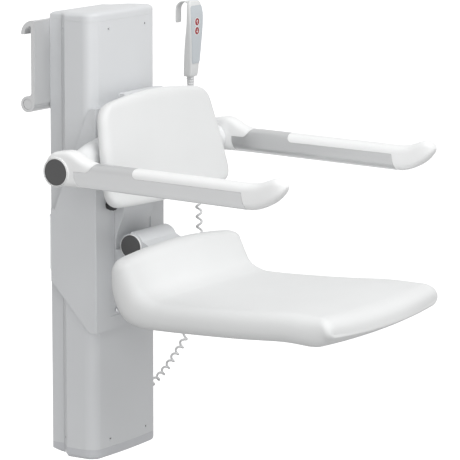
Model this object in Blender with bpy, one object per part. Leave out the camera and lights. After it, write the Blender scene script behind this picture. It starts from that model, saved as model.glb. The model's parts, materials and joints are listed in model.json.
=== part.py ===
"""Electric shower seat: a wall column whose carriage lifts a fold-up seat, a backrest and two arms.

Frame: metres, +Z up, -Y into the room, origin on the back of the wall plate, at its centre.
Every piece is one named object; what fits together takes its size from the same named values.
"""

import math

import bpy
from mathutils import Vector

for old in list(bpy.data.objects):
    bpy.data.objects.remove(old, do_unlink=True)

# General clearances
FACE_GAP = 0.0003
RUNNING_GAP = 0.0009
BIG = 1.0

# Wall plate: hook along the top, bead with a rod along the bottom
PLATE_HALF_LENGTH = 0.1520
PLATE_THICKNESS = 0.0088
PLATE_TOP = 0.0960
HOOK_ROOF = 0.0122
HOOK_GAP = 0.0165
HOOK_LIP = 0.0088
HOOK_DROP = 0.0305
HOOK_RADIUS = 0.0300
BEAD_RADIUS = 0.0171
BEAD_Z = -0.0823
BEAD_FILLET = 0.0080
ROD_RADIUS = 0.0112
ROD_CLEARANCE = 0.0004

# Column
COLUMN_REAR_Y = -(PLATE_THICKNESS + FACE_GAP)
COLUMN_HALF = 0.1222
COLUMN_REAR_HALF = COLUMN_HALF - 0.0264
REAR_SIDE_DEPTH = 0.0300
SIDE_FRONT_Y = -0.1085
CORNER_RADIUS = 0.0320
FRONT_HALF = COLUMN_HALF - 0.0212
FRONT_BOW = 0.0040
EDGE_OFFSET = FRONT_HALF - (COLUMN_HALF - CORNER_RADIUS)
COLUMN_FRONT_Y = SIDE_FRONT_Y - math.sqrt(CORNER_RADIUS ** 2 - EDGE_OFFSET ** 2) - FRONT_BOW
COLUMN_WALL = 0.0030
COLUMN_TOP = 0.0968
COLUMN_BOTTOM = -0.8240
TOP_CAP_HEIGHT = 0.0205
TOP_CAP_RIM = 0.0095
TOP_CAP_LEAN = 0.28
BOTTOM_CAP_HEIGHT = 0.0222
BOTTOM_CAP_REAR = 0.0137
BOTTOM_CAP_CHAMFER = 0.0300
END_BLOCK_HEIGHT = 0.0300
SCREW_HEAD_RADIUS = 0.0048
SCREW_HEAD_HEIGHT = 0.0013
SCREW_RECESS = 0.0018
SCREW_HALF_SPACING = FRONT_HALF - 0.0325
SCREW_END_DISTANCE = 0.0176
FOOT_PLATE_HALF = 0.0700
FOOT_PLATE_HEIGHT = 0.0550

# Drive inside the column
SPINDLE_RADIUS = 0.0090
SPINDLE_Y = -0.0480
NUT_RADIUS = 0.0200
NUT_HEIGHT = 0.0500
BEARING_RADIUS = 0.0180
BEARING_HEIGHT = 0.0140
MOTOR_RADIUS = 0.0310
MOTOR_HEIGHT = 0.1150
GEARBOX_HALF = 0.0360
GEARBOX_HEIGHT = 0.0420
CONTROL_BOX_HALF = 0.0600
CONTROL_BOX_DEPTH = 0.0420
CONTROL_BOX_HEIGHT = 0.1700

# Lift and carriage
LIFT_UP = 0.2000
LIFT_DOWN = 0.2000
CARRIAGE_SIDE_WALL = 0.0069
CARRIAGE_FRONT_WALL = 0.0055
CARRIAGE_HALF = COLUMN_HALF + RUNNING_GAP + CARRIAGE_SIDE_WALL
CARRIAGE_FRONT_Y = COLUMN_FRONT_Y - RUNNING_GAP - CARRIAGE_FRONT_WALL
CARRIAGE_TOP = -0.0839
CARRIAGE_BOTTOM = -0.5650
CARRIAGE_REAR_Y = COLUMN_REAR_Y - 0.0232
CARRIAGE_REAR_TOP = -0.3042
CARRIAGE_REAR_BOTTOM = -0.4626
CARRIAGE_EDGE_RADIUS = 0.0025
POCKET_DEPTH = 0.0020
POCKET_TOP = -0.1050
POCKET_BOTTOM = -0.5369
YOKE_THICKNESS = 0.0043
YOKE_TOP = -0.3250
YOKE_BOTTOM = -0.4420
LUG_HALF = 0.0080
SLOT_CLEARANCE = 0.0015
GLIDE_HEIGHT = 0.0350

# Hinge housing and seat hinge
SEAT_PIVOT_Y = CARRIAGE_FRONT_Y - 0.0456
SEAT_PIVOT_Z = -0.3814
NOSE_HALF = 0.0572
NOSE_TOP = CARRIAGE_TOP + 0.0119
NOSE_FACE_Y = CARRIAGE_FRONT_Y - 0.0218
NOSE_SCOOP_TOP = 0.0782
NOSE_SCOOP_REACH = 0.0452
LEDGE_DROP = 0.0113
LUG_RADIUS = 0.0215
PIN_RADIUS = 0.0080
PIN_CLEARANCE = 0.00008
PIN_SIDES = 48
NOSE_BOTTOM = -0.4586
SEAT_ARM_HALF = NOSE_HALF + 0.0078
POCKET_HALF = SEAT_ARM_HALF + 0.0125
SEAT_KNUCKLE_RADIUS = 0.0275
SEAT_HOOD_RADIUS = 0.0315
SEAT_HOOD_WALL = 0.0055
SEAT_CAP_RADIUS = 0.0260
SEAT_CAP_THICKNESS = 0.0030
SEAT_ARM_THICKNESS = 0.0150
SEAT_ARM_REACH = 0.4700
POCKET_BOLT_RADIUS = 0.0045
POCKET_BOLT_X = 0.0533
POCKET_BOLT_Z = -0.5247

# Seat shell
SEAT_HALF = 0.2295
SEAT_REAR_Y = SEAT_PIVOT_Y - 0.0509
SEAT_FRONT_Y = -0.7900
SEAT_TOP_Z = -0.4587
SEAT_FRONT_RISE = 0.0136
SEAT_THICKNESS = 0.0616
LIP_TOP_Z = -0.3640
LIP_THICKNESS = 0.0490
LIP_ARCH = 0.0130
SEAT_FRONT_BOW = 0.0104
SEAT_FRONT_LIFT = 0.0109
SEAT_FRONT_CORNER = 0.0235
LIP_CORNER = 0.0320
SEAT_RIM = 0.0280
RIM_POWER = 2.3
SEAT_NOSE_Z = SEAT_TOP_Z - SEAT_THICKNESS + 0.0300

# Backrest
BACKREST_BOTTOM_Z = -0.2805
BACKREST_TOP_Z = -0.0500
BACKREST_TOP_Y = NOSE_FACE_Y - 0.0321
BACKREST_BOTTOM_Y = BACKREST_TOP_Y - 0.0504
BACKREST_BOTTOM_HALF = 0.2315
BACKREST_TOP_HALF = 0.1978
BACKREST_THICKNESS = 0.0290
BACKREST_RIM = 0.0180
BACKREST_TOP_ARCH = 0.0120
BACKREST_BOTTOM_ARCH = 0.0060
BACKREST_TOP_CORNER = 0.0430
BACKREST_BOTTOM_CORNER = 0.0400
HANGER_HALF = NOSE_HALF + 0.0193
HANGER_SHEET = 0.0025
HANGER_TOP = -0.0525
HANGER_CORNER = 0.0140

# Arm supports
ARM_X = 0.3010
ARM_HALF_WIDTH = 0.0195
ARM_LOW_REAR_Z = -0.2190
ARM_LOW_FRONT_Z = -0.2265
ARM_HIGH_REAR_Z = -0.1665
ARM_HIGH_FRONT_Z = -0.1732
ARM_PIVOT_Y = CARRIAGE_FRONT_Y - 0.0344
ARM_PIVOT_Z = -0.1888
ARM_CORNER = 0.0165
HUB_RADIUS = 0.0315
HUB_RISE = 0.0415
HUB_DROP = 0.0285
HUB_CORNER = 0.0070
HUB_CAP_RADIUS = 0.0290
HUB_CAP_THICKNESS = 0.0025
COLLAR_HUMP_Y = -0.2070
COLLAR_HUMP_Z = -0.1441
HUMP_END_Y = -0.2900
COLLAR_STEP_Y = -0.2570
COLLAR_STEP_Z = -0.1838
COLLAR_END_Y = -0.2740
TUBE_START_Y = -0.2258
TUBE_END_Y = -0.6350
PAD_REAR_Y = -0.3700
PAD_LINE_REAR_Z = -0.1850
PAD_LINE_FRONT_Z = -0.1905
PAD_HEEL_RADIUS = 0.0100
TIP_FRONT_Y = -0.7258
TIP_CREST_Y = -0.7030
TIP_CREST_Z = -0.1574
TIP_NOSE_Z = -0.1740
ARM_PIN_RADIUS = 0.0100
CARRIER_HALF_HEIGHT = 0.0560
CARRIER_HUB_HALF = 0.0285
CARRIER_FRONT_Y = CARRIAGE_FRONT_Y - 0.0560

# Hand control
HANDSET_X = 0.4630
HANDSET_TOP_Z = 0.0900
HANDSET_BOTTOM_Z = -0.0860
# Height, half width, front y and rear y of each section, foot first
HANDSET_SECTIONS = [(HANDSET_BOTTOM_Z, 0.0130, -0.0108, 0.0088), (-0.0800, 0.0146, -0.0124, 0.0090),
                    (-0.0550, 0.0170, -0.0150, 0.0072), (-0.0100, 0.0216, -0.0173, 0.0022),
                    (0.0300, 0.0254, -0.0184, -0.0045), (0.0560, 0.0264, -0.0180, -0.0060),
                    (0.0780, 0.0238, -0.0150, -0.0052), (HANDSET_TOP_Z, 0.0135, -0.0108, -0.0060)]
HANDSET_WALL = 0.0020
HANDSET_CORNER = 0.0042
HANDSET_HOOK_HALF = 0.0100
HANDSET_HOOK_SHEET = 0.0028
HANDSET_HOOK_RADIUS = 0.0186
HANDSET_HOOK_END_Z = 0.0345
LABEL_TOP_Z = 0.0760
LABEL_BOTTOM_Z = -0.0560
LABEL_MARGIN = 0.0022
LABEL_THICKNESS = 0.0006
BUTTON_RADIUS = 0.0080
BUTTON_GAP = 0.0004
BUTTON_UP_Z = 0.0390
BUTTON_SPACING = 0.0206
BUTTON_TRAVEL = 0.0010
BUTTON_PROUD = 0.0005
BOARD_THICKNESS = 0.0016
BOARD_HALF = 0.0120

# Curly cord
CORD_DIAMETER = 0.0056
CURL_OUTER_DIAMETER = 0.0172
CORD_CURLS = 38
POINTS_PER_CURL = 9
RELIEF_LENGTH = 0.0290
RELIEF_RADIUS = 0.0094
RELIEF_TAPER = 0.26
RIB_DEPTH = 0.0008
SOCKET_Z = -0.7770
SOCKET_Y = -0.0240
CORD_START_Y = -0.0011


# Materials

def paint(name, colour, roughness, metallic=0.0):
    """A Principled BSDF with the part's own colour."""
    material = bpy.data.materials.new(name)
    material.use_nodes = True
    shader = material.node_tree.nodes["Principled BSDF"]
    shader.inputs["Base Color"].default_value = (*colour, 1.0)
    shader.inputs["Roughness"].default_value = roughness
    shader.inputs["Metallic"].default_value = metallic
    return material


WHITE_SHELL = paint("white_shell", (0.80, 0.81, 0.81), 0.45)
GREY_PAINT = paint("grey_paint", (0.50, 0.51, 0.51), 0.40)
PALE_PAINT = paint("pale_paint", (0.68, 0.70, 0.71), 0.40)
ALUMINIUM = paint("aluminium", (0.60, 0.61, 0.62), 0.35, 0.6)
STEEL = paint("steel", (0.55, 0.56, 0.57), 0.30, 1.0)
DARK_CAP = paint("dark_cap", (0.10, 0.10, 0.10), 0.50)
CORD_GREY = paint("cord_grey", (0.62, 0.63, 0.63), 0.50)
LABEL_BLUE = paint("label_blue", (0.62, 0.66, 0.69), 0.40)
BUTTON_RED = paint("button_red", (0.45, 0.02, 0.03), 0.45)
BOARD_GREEN = paint("board_green", (0.03, 0.20, 0.08), 0.50)


# Shape helpers

def make_object(name, points, faces, material, smooth=True):
    """One mesh object from points and faces, its normals made to face out."""
    mesh = bpy.data.meshes.new(name)
    mesh.from_pydata([tuple(point) for point in points], [], faces)
    mesh.validate()
    made = bpy.data.objects.new(name, mesh)
    bpy.context.collection.objects.link(made)
    made.data.materials.append(material)
    if signed_volume(mesh) < 0.0:
        mesh.flip_normals()
    if smooth:
        mesh.shade_smooth()
        mesh.set_sharp_from_angle(angle=math.radians(35.0))
    return made


def signed_volume(mesh):
    """Volume enclosed by the mesh, negative when its faces point in."""
    mesh.calc_loop_triangles()
    total = 0.0
    for triangle in mesh.loop_triangles:
        a, b, c = (mesh.vertices[index].co for index in triangle.vertices)
        total += a.dot(b.cross(c))
    return total / 6.0


def loft(name, rings, material):
    """Skin rings of equal point count into one closed body with flat ends."""
    count = len(rings[0])
    points = [point for ring in rings for point in ring]
    faces = []
    for step in range(len(rings) - 1):
        low = step * count
        high = low + count
        for index in range(count):
            after = (index + 1) % count
            faces.append((low + index, low + after, high + after, high + index))
    faces.append(tuple(reversed(range(count))))
    faces.append(tuple(range((len(rings) - 1) * count, len(rings) * count)))
    return make_object(name, points, faces, material)


def prism_x(name, outline, low, high, material):
    """Extrude a (y, z) outline along X."""
    return loft(name, [[(x, y, z) for y, z in outline] for x in (low, high)], material)


def prism_y(name, outline, low, high, material):
    """Extrude an (x, z) outline along Y."""
    return loft(name, [[(x, y, z) for x, z in outline] for y in (low, high)], material)


def prism_z(name, outline, low, high, material):
    """Extrude an (x, y) outline along Z."""
    return loft(name, [[(x, y, z) for x, y in outline] for z in (low, high)], material)


def arc(centre, radius, start_deg, end_deg, steps):
    """Points on an arc, both ends included."""
    points = []
    for step in range(steps + 1):
        angle = math.radians(start_deg + (end_deg - start_deg) * step / steps)
        points.append((centre[0] + radius * math.cos(angle), centre[1] + radius * math.sin(angle)))
    return points


def rectangle(low_a, high_a, low_b, high_b):
    """Corners of a rectangle, anticlockwise."""
    return [(low_a, low_b), (high_a, low_b), (high_a, high_b), (low_a, high_b)]


def rounded(outline, radius, steps=3):
    """Fillet every corner of a closed outline; a fillet is limited by its own edges."""
    points = []
    for index, corner in enumerate(outline):
        before = Vector(outline[index - 1])
        after = Vector(outline[(index + 1) % len(outline)])
        corner = Vector(corner)
        into = before - corner
        out = after - corner
        half_angle = into.angle(out) / 2.0
        reach = min(radius / math.tan(half_angle), 0.45 * into.length, 0.45 * out.length)
        start = corner + into.normalized() * reach
        end = corner + out.normalized() * reach
        for step in range(steps + 1):
            t = step / steps
            point = start * (1 - t) ** 2 + corner * 2 * t * (1 - t) + end * t ** 2
            points.append((point.x, point.y))
    return points


def offset_path(path, distance):
    """Shift an open path to its left by distance, with mitred corners."""
    shifted = []
    for index, point in enumerate(path):
        here = Vector(point)
        before = here - Vector(path[index - 1]) if index > 0 else None
        after = Vector(path[index + 1]) - here if index + 1 < len(path) else None
        before = before or after
        after = after or before
        normal_in = Vector((-before.y, before.x)).normalized()
        normal_out = Vector((-after.y, after.x)).normalized()
        mitre = (normal_in + normal_out).normalized()
        moved = here + mitre * distance / max(mitre.dot(normal_out), 0.3)
        shifted.append((moved.x, moved.y))
    return shifted


def walled(path, thickness):
    """Closed outline of a sheet that follows an open path, its thickness on the path's left."""
    return list(path) + list(reversed(offset_path(path, thickness)))


def cylinder(name, axis, centre, radius, low, high, material, sides=24):
    """A round bar along axis X, Y or Z between low and high."""
    return turned(name, axis, centre, [(low, radius), (high, radius)], material, sides)


def turned(name, axis, centre, profile, material, sides=24):
    """A turned piece: profile holds (place along the axis, radius) pairs."""
    rings = []
    for along, radius in profile:
        ring = []
        for side in range(sides):
            angle = 2.0 * math.pi * side / sides
            a = radius * math.cos(angle)
            b = radius * math.sin(angle)
            if axis == "X":
                ring.append((along, centre[1] + a, centre[2] + b))
            elif axis == "Y":
                ring.append((centre[0] + a, along, centre[2] + b))
            else:
                ring.append((centre[0] + a, centre[1] + b, along))
        rings.append(ring)
    return loft(name, rings, material)


def boolean(target, tool, operation):
    """Apply one exact Boolean and remove its tool."""
    tool.hide_render = True
    tool.display_type = "WIRE"
    modifier = target.modifiers.new(operation.lower(), "BOOLEAN")
    modifier.operation = operation
    modifier.object = tool
    bpy.context.view_layer.update()
    evaluated = target.evaluated_get(bpy.context.evaluated_depsgraph_get())
    result = bpy.data.meshes.new_from_object(evaluated)
    target.modifiers.clear()
    target.data = result
    result.shade_smooth()
    result.set_sharp_from_angle(angle=math.radians(35.0))
    bpy.data.objects.remove(tool, do_unlink=True)
    return target


def cut(target, tool):
    return boolean(target, tool, "DIFFERENCE")


def keep(target, tool):
    return boolean(target, tool, "INTERSECT")


def join(target, tool):
    return boolean(target, tool, "UNION")


def smooth_curve(controls, count):
    """Even steps in parameter along a Catmull-Rom curve through the control points."""
    controls = [Vector(point) for point in controls]
    spans = len(controls) - 1
    points = []
    for step in range(count):
        place = spans * step / (count - 1)
        index = min(int(place), spans - 1)
        t = place - index
        p1 = controls[index]
        p2 = controls[index + 1]
        p0 = controls[index - 1] if index > 0 else p1 * 2 - p2
        p3 = controls[index + 2] if index + 2 <= spans else p2 * 2 - p1
        point = 0.5 * ((p1 * 2) + (p2 - p0) * t + (p0 * 2 - p1 * 5 + p2 * 4 - p3) * t ** 2
                       + (p1 * 3 - p0 - p2 * 3 + p3) * t ** 3)
        points.append(point)
    return points


def mirrored(half):
    """Close an outline from its +X half, listed from the front centre to the rear centre."""
    return list(half) + [(-x, y) for x, y in reversed(half) if abs(x) > 1e-9]


def named_sides():
    return (("left", -1.0), ("right", 1.0))


def parent_to(empty, *children):
    """Hang pieces on an empty without moving them."""
    bpy.context.view_layer.update()
    for child in children:
        child.parent = empty
        child.matrix_parent_inverse = empty.matrix_world.inverted()


def joint_empty(name, place):
    """An empty on a joint's axis."""
    empty = bpy.data.objects.new(name, None)
    empty.location = place
    bpy.context.collection.objects.link(empty)
    return empty


# Wall plate

def build_wall_plate():
    """Extruded plate: a hook drops over the wall track, the bead below holds a steel rod."""
    bead_y = BEAD_RADIUS - PLATE_THICKNESS + 0.0015
    hook_back = HOOK_GAP + HOOK_LIP
    roof = PLATE_TOP - HOOK_ROOF
    rise = math.sqrt((BEAD_RADIUS + BEAD_FILLET) ** 2 - (bead_y - BEAD_FILLET) ** 2)
    meet_angle = math.degrees(math.atan2(rise, BEAD_FILLET - bead_y))
    outline = [(-PLATE_THICKNESS, BEAD_Z), (-PLATE_THICKNESS, PLATE_TOP)]
    outline += arc((hook_back - HOOK_RADIUS, PLATE_TOP - HOOK_RADIUS), HOOK_RADIUS, 90, 0, 12)
    outline += [(hook_back, PLATE_TOP - HOOK_DROP), (HOOK_GAP, PLATE_TOP - HOOK_DROP)]
    outline += arc((0.0, roof - HOOK_GAP), HOOK_GAP, 0, 78, 7)
    outline += [(0.0020, roof), (0.0, roof)]
    outline += arc((BEAD_FILLET, BEAD_Z + rise), BEAD_FILLET, 180, 180 + meet_angle, 5)
    outline += arc((bead_y, BEAD_Z), BEAD_RADIUS, meet_angle, -180, 18)[1:]
    plate = prism_x("wall_plate", outline, -PLATE_HALF_LENGTH, PLATE_HALF_LENGTH, ALUMINIUM)
    bore = cylinder("bore", "X", (0, bead_y, BEAD_Z), ROD_RADIUS + ROD_CLEARANCE,
                    -BIG, BIG, ALUMINIUM)
    cut(plate, bore)
    cylinder("plate_rod", "X", (0, bead_y, BEAD_Z), ROD_RADIUS,
             -PLATE_HALF_LENGTH + 0.001, PLATE_HALF_LENGTH - 0.001, STEEL)


# Column

def column_front_path(grow=0.0):
    """Half of the cover's outside, from the front centre to the start of the flare."""
    corner_centre = (COLUMN_HALF - CORNER_RADIUS, SIDE_FRONT_Y)
    radius = CORNER_RADIUS + grow
    edge_y = COLUMN_FRONT_Y + FRONT_BOW
    start = -math.degrees(math.acos(EDGE_OFFSET / CORNER_RADIUS))
    path = []
    for share in (0.0, 0.35, 0.7):
        path.append((share * FRONT_HALF, edge_y - FRONT_BOW * (1 - share ** 2) - grow))
    path += arc(corner_centre, radius, start, 0.0, 6)
    return path


def flare_front_y():
    """Where the 45 degree flare reaches the full width."""
    return COLUMN_REAR_Y - REAR_SIDE_DEPTH - (COLUMN_HALF - COLUMN_REAR_HALF)


def seam_y():
    return COLUMN_REAR_Y - REAR_SIDE_DEPTH


def column_outline(inset=0.0):
    """The whole column in plan, moved in by inset."""
    half = column_front_path(-inset)
    tilt = inset * math.tan(math.radians(22.5))
    half.append((COLUMN_HALF - inset, flare_front_y() - tilt))
    half.append((COLUMN_REAR_HALF - inset, seam_y() - tilt))
    half.append((COLUMN_REAR_HALF - inset, COLUMN_REAR_Y - inset))
    half.append((0.0, COLUMN_REAR_Y - inset))
    return mirrored(half)


def build_column():
    """Front cover and rear profile, closed at both ends by a block and a cap."""
    half = column_front_path() + [(COLUMN_HALF, flare_front_y()), (COLUMN_REAR_HALF, seam_y())]
    path = [(-x, y) for x, y in reversed(half[1:])] + half
    cover = prism_z("column_cover", walled(path, COLUMN_WALL), COLUMN_BOTTOM, COLUMN_TOP, PALE_PAINT)
    rear = [(-COLUMN_REAR_HALF, seam_y() + FACE_GAP), (-COLUMN_REAR_HALF, COLUMN_REAR_Y),
            (COLUMN_REAR_HALF, COLUMN_REAR_Y), (COLUMN_REAR_HALF, seam_y() + FACE_GAP)]
    profile = prism_z("column_rear", walled(rear, -COLUMN_WALL), COLUMN_BOTTOM, COLUMN_TOP, GREY_PAINT)
    slot_half = LUG_HALF + SLOT_CLEARANCE
    slot = prism_z("slot", rectangle(-slot_half, slot_half, COLUMN_REAR_Y - 0.010, 0.010),
                   YOKE_BOTTOM - LIFT_DOWN - 0.004, YOKE_TOP + LIFT_UP + 0.004, GREY_PAINT)
    cut(profile, slot)
    inside = column_outline(COLUMN_WALL + FACE_GAP)
    prism_z("top_block", inside, COLUMN_TOP - END_BLOCK_HEIGHT, COLUMN_TOP - FACE_GAP, ALUMINIUM)
    prism_z("foot_block", inside, COLUMN_BOTTOM + FACE_GAP, COLUMN_BOTTOM + END_BLOCK_HEIGHT, ALUMINIUM)
    foot_plate = rectangle(-FOOT_PLATE_HALF, FOOT_PLATE_HALF, -PLATE_THICKNESS, 0.0)
    prism_z("foot_wall_plate", foot_plate, COLUMN_BOTTOM + 0.010,
            COLUMN_BOTTOM + 0.010 + FOOT_PLATE_HEIGHT, ALUMINIUM)
    return cover


def cap_rings(base_z, direction, shape, lean=0.0):
    """Rings of a crowned cap: shape holds (height, inset) pairs from the column outwards.

    A lean makes the cap lower towards the wall, by this share of its height.
    """
    rings = []
    for height, inset in shape:
        ring = []
        for x, y in column_outline(inset):
            share = 1.0 - lean * (y - COLUMN_FRONT_Y) / (COLUMN_REAR_Y - COLUMN_FRONT_Y)
            ring.append((x, y, base_z + direction * (FACE_GAP + (height - FACE_GAP) * share)))
        rings.append(ring)
    return rings


def build_caps():
    """Crowned top cap and shallow bottom cap in the column's own outline."""
    crown = TOP_CAP_HEIGHT - TOP_CAP_RIM
    top = [(FACE_GAP, 0.0), (TOP_CAP_RIM, 0.0), (TOP_CAP_RIM + 0.50 * crown, 0.0022),
           (TOP_CAP_RIM + 0.85 * crown, 0.0070), (TOP_CAP_HEIGHT, 0.0150)]
    loft("top_cap", cap_rings(COLUMN_TOP, 1.0, top, TOP_CAP_LEAN), PALE_PAINT)
    foot = [(FACE_GAP, 0.0), (0.60 * BOTTOM_CAP_HEIGHT, 0.0), (0.86 * BOTTOM_CAP_HEIGHT, 0.0025),
            (BOTTOM_CAP_HEIGHT, 0.0085)]
    tray = loft("bottom_cap", cap_rings(COLUMN_BOTTOM, -1.0, foot), GREY_PAINT)
    cut(tray, prism_x("chamfer", [(0.0, COLUMN_BOTTOM - BOTTOM_CAP_REAR + 0.0030),
                                  (COLUMN_REAR_Y - BOTTOM_CAP_CHAMFER, COLUMN_BOTTOM - BOTTOM_CAP_HEIGHT - 0.0005),
                                  (0.0, COLUMN_BOTTOM - 0.1)], -BIG, BIG, GREY_PAINT))


def cover_screw(name, cover, place, turn):
    """One flush screw in its own recess; the head faces along X turned by this angle."""
    seat = SCREW_RECESS - FACE_GAP
    pieces = []
    for profile in ([(-SCREW_RECESS, SCREW_HEAD_RADIUS + FACE_GAP), (0.020, SCREW_HEAD_RADIUS + FACE_GAP)],
                    [(-seat, SCREW_HEAD_RADIUS), (-seat + 0.6 * SCREW_HEAD_HEIGHT, SCREW_HEAD_RADIUS),
                     (-seat + SCREW_HEAD_HEIGHT, 0.75 * SCREW_HEAD_RADIUS)]):
        piece = turned(name, "X", (0, 0, 0), profile, STEEL, 14)
        piece.rotation_euler = (0, 0, turn)
        piece.location = place
        pieces.append(piece)
    cut(cover, pieces[0])
    pieces[1].name = name


def build_cover_screws(cover):
    """Flush screws that hold the cover on the two end blocks, so that the carriage can pass them."""
    low_z = COLUMN_BOTTOM + SCREW_END_DISTANCE
    high_z = COLUMN_TOP - SCREW_END_DISTANCE
    path = column_front_path()
    share = (SCREW_HALF_SPACING - path[1][0]) / (path[2][0] - path[1][0])
    front_y = path[1][1] + (path[2][1] - path[1][1]) * share
    flare_x = (COLUMN_HALF + COLUMN_REAR_HALF) / 2.0
    flare_y = (flare_front_y() + seam_y()) / 2.0
    for side, sign in named_sides():
        outward = 0.25 * math.pi if sign > 0 else 0.75 * math.pi
        for level, z in (("top", high_z), ("foot", low_z)):
            cover_screw("front_screw_%s_%s" % (level, side), cover,
                        (sign * SCREW_HALF_SPACING, front_y, z), -0.5 * math.pi)
            cover_screw("side_screw_%s_%s" % (level, side), cover, (sign * flare_x, flare_y, z), outward)


# Drive

def build_drive():
    """Gear motor on the foot block, spindle up to its bearing, nut on the carriage's yoke."""
    foot = COLUMN_BOTTOM + END_BLOCK_HEIGHT + FACE_GAP
    axis = (0.0, SPINDLE_Y, 0.0)
    cylinder("lift_motor", "Z", axis, MOTOR_RADIUS, foot, foot + MOTOR_HEIGHT, STEEL)
    gear_low = foot + MOTOR_HEIGHT + FACE_GAP
    gear_high = gear_low + GEARBOX_HEIGHT
    gear_outline = rounded(rectangle(-GEARBOX_HALF, GEARBOX_HALF, SPINDLE_Y - GEARBOX_HALF,
                                     SPINDLE_Y + MOTOR_RADIUS), 0.006)
    prism_z("lift_gearbox", gear_outline, gear_low, gear_high, ALUMINIUM)
    ceiling = COLUMN_TOP - END_BLOCK_HEIGHT - FACE_GAP
    bearing_low = ceiling - BEARING_HEIGHT
    cylinder("spindle_bearing", "Z", axis, BEARING_RADIUS, bearing_low, ceiling, STEEL)
    cylinder("lift_spindle", "Z", axis, SPINDLE_RADIUS, gear_high + FACE_GAP,
             bearing_low - FACE_GAP, STEEL, PIN_SIDES)
    box_front = COLUMN_FRONT_Y + COLUMN_WALL + 0.010
    box = rounded(rectangle(-CONTROL_BOX_HALF, CONTROL_BOX_HALF, box_front,
                            box_front + CONTROL_BOX_DEPTH), 0.004)
    prism_z("control_box", box, ceiling - CONTROL_BOX_HEIGHT, ceiling, DARK_CAP)


# Carriage

def carriage_inner_path():
    """Half of the carriage's inside: it follows the cover with a running gap, then runs straight back."""
    half = column_front_path(RUNNING_GAP)
    half.append((COLUMN_HALF + RUNNING_GAP, CARRIAGE_REAR_Y))
    return half


def build_carriage():
    """One shell round the column's front and sides; its rear corners are cut on the slant."""
    outer = rounded([(CARRIAGE_HALF, CARRIAGE_REAR_Y), (CARRIAGE_HALF, CARRIAGE_FRONT_Y),
                     (-CARRIAGE_HALF, CARRIAGE_FRONT_Y), (-CARRIAGE_HALF, CARRIAGE_REAR_Y)],
                    CARRIAGE_EDGE_RADIUS)
    outer = [point for point in outer if point[1] < CARRIAGE_REAR_Y - CARRIAGE_EDGE_RADIUS]
    outer = [(CARRIAGE_HALF, CARRIAGE_REAR_Y)] + outer + [(-CARRIAGE_HALF, CARRIAGE_REAR_Y)]
    half = carriage_inner_path()
    inner = [(-x, y) for x, y in reversed(half[1:])] + half
    shell = prism_z("carriage_shell", outer + inner, CARRIAGE_BOTTOM, CARRIAGE_TOP, PALE_PAINT)
    upper = [(BIG, CARRIAGE_REAR_TOP), (CARRIAGE_REAR_Y, CARRIAGE_REAR_TOP),
             (CARRIAGE_REAR_Y - 0.0094, CARRIAGE_REAR_TOP - 0.0032),
             (CARRIAGE_FRONT_Y + 0.0362, CARRIAGE_TOP - 0.0479),
             (CARRIAGE_FRONT_Y + 0.0232, CARRIAGE_TOP - 0.0138),
             (CARRIAGE_FRONT_Y + 0.0167, CARRIAGE_TOP - 0.0039),
             (CARRIAGE_FRONT_Y + 0.0037, CARRIAGE_TOP + 0.0005), (CARRIAGE_FRONT_Y + 0.0037, BIG), (BIG, BIG)]
    cut(shell, prism_x("upper_slant", upper, -BIG, BIG, PALE_PAINT))
    lower = [(BIG, -BIG), (BIG, CARRIAGE_REAR_BOTTOM), (CARRIAGE_REAR_Y, CARRIAGE_REAR_BOTTOM),
             (CARRIAGE_REAR_Y - 0.0058, CARRIAGE_REAR_BOTTOM - 0.0039),
             (CARRIAGE_FRONT_Y + 0.0224, CARRIAGE_BOTTOM + 0.0035),
             (CARRIAGE_FRONT_Y + 0.0128, CARRIAGE_BOTTOM - 0.0005), (CARRIAGE_FRONT_Y + 0.0128, -BIG)]
    cut(shell, prism_x("lower_slant", lower, -BIG, BIG, PALE_PAINT))
    pocket = rounded(rectangle(-POCKET_HALF, POCKET_HALF, POCKET_BOTTOM, POCKET_TOP), 0.004)
    floor_y = CARRIAGE_FRONT_Y + POCKET_DEPTH
    cut(shell, prism_y("pocket", pocket, CARRIAGE_FRONT_Y - 0.010, floor_y, PALE_PAINT))
    for side, sign in named_sides():
        head = floor_y - FACE_GAP
        turned("pocket_bolt_%s" % side, "Y", (sign * POCKET_BOLT_X, 0, POCKET_BOLT_Z),
               [(head, POCKET_BOLT_RADIUS), (head - 0.0030, POCKET_BOLT_RADIUS),
                (head - 0.0040, 0.75 * POCKET_BOLT_RADIUS)], STEEL, 12)


def build_yoke():
    """A strap behind the column joins the carriage's sides and carries the spindle nut."""
    back = COLUMN_REAR_Y + 0.0012
    inner_x = COLUMN_HALF + RUNNING_GAP
    leg_end = CARRIAGE_REAR_Y + FACE_GAP
    half = [(0.0, back), (COLUMN_REAR_HALF + 0.0005, back), (inner_x, leg_end),
            (CARRIAGE_HALF - 0.0010, leg_end), (COLUMN_REAR_HALF - 0.0010, back + YOKE_THICKNESS),
            (0.0, back + YOKE_THICKNESS)]
    outline = half + [(-x, y) for x, y in reversed(half[1:-1])]
    yoke = prism_z("rear_yoke", outline, YOKE_BOTTOM, YOKE_TOP, STEEL)
    mid_z = (YOKE_BOTTOM + YOKE_TOP) / 2.0
    nut_low = mid_z - NUT_HEIGHT / 2.0
    lug = prism_z("lug", rectangle(-LUG_HALF, LUG_HALF, SPINDLE_Y + NUT_RADIUS + FACE_GAP,
                                   back + YOKE_THICKNESS / 2.0), nut_low, nut_low + NUT_HEIGHT, STEEL)
    join(yoke, lug)
    nut = cylinder("spindle_nut", "Z", (0, SPINDLE_Y, 0), NUT_RADIUS, nut_low, nut_low + NUT_HEIGHT, ALUMINIUM)
    cut(nut, cylinder("thread", "Z", (0, SPINDLE_Y, 0), SPINDLE_RADIUS + PIN_CLEARANCE,
                      -BIG, BIG, ALUMINIUM, PIN_SIDES))


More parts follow.
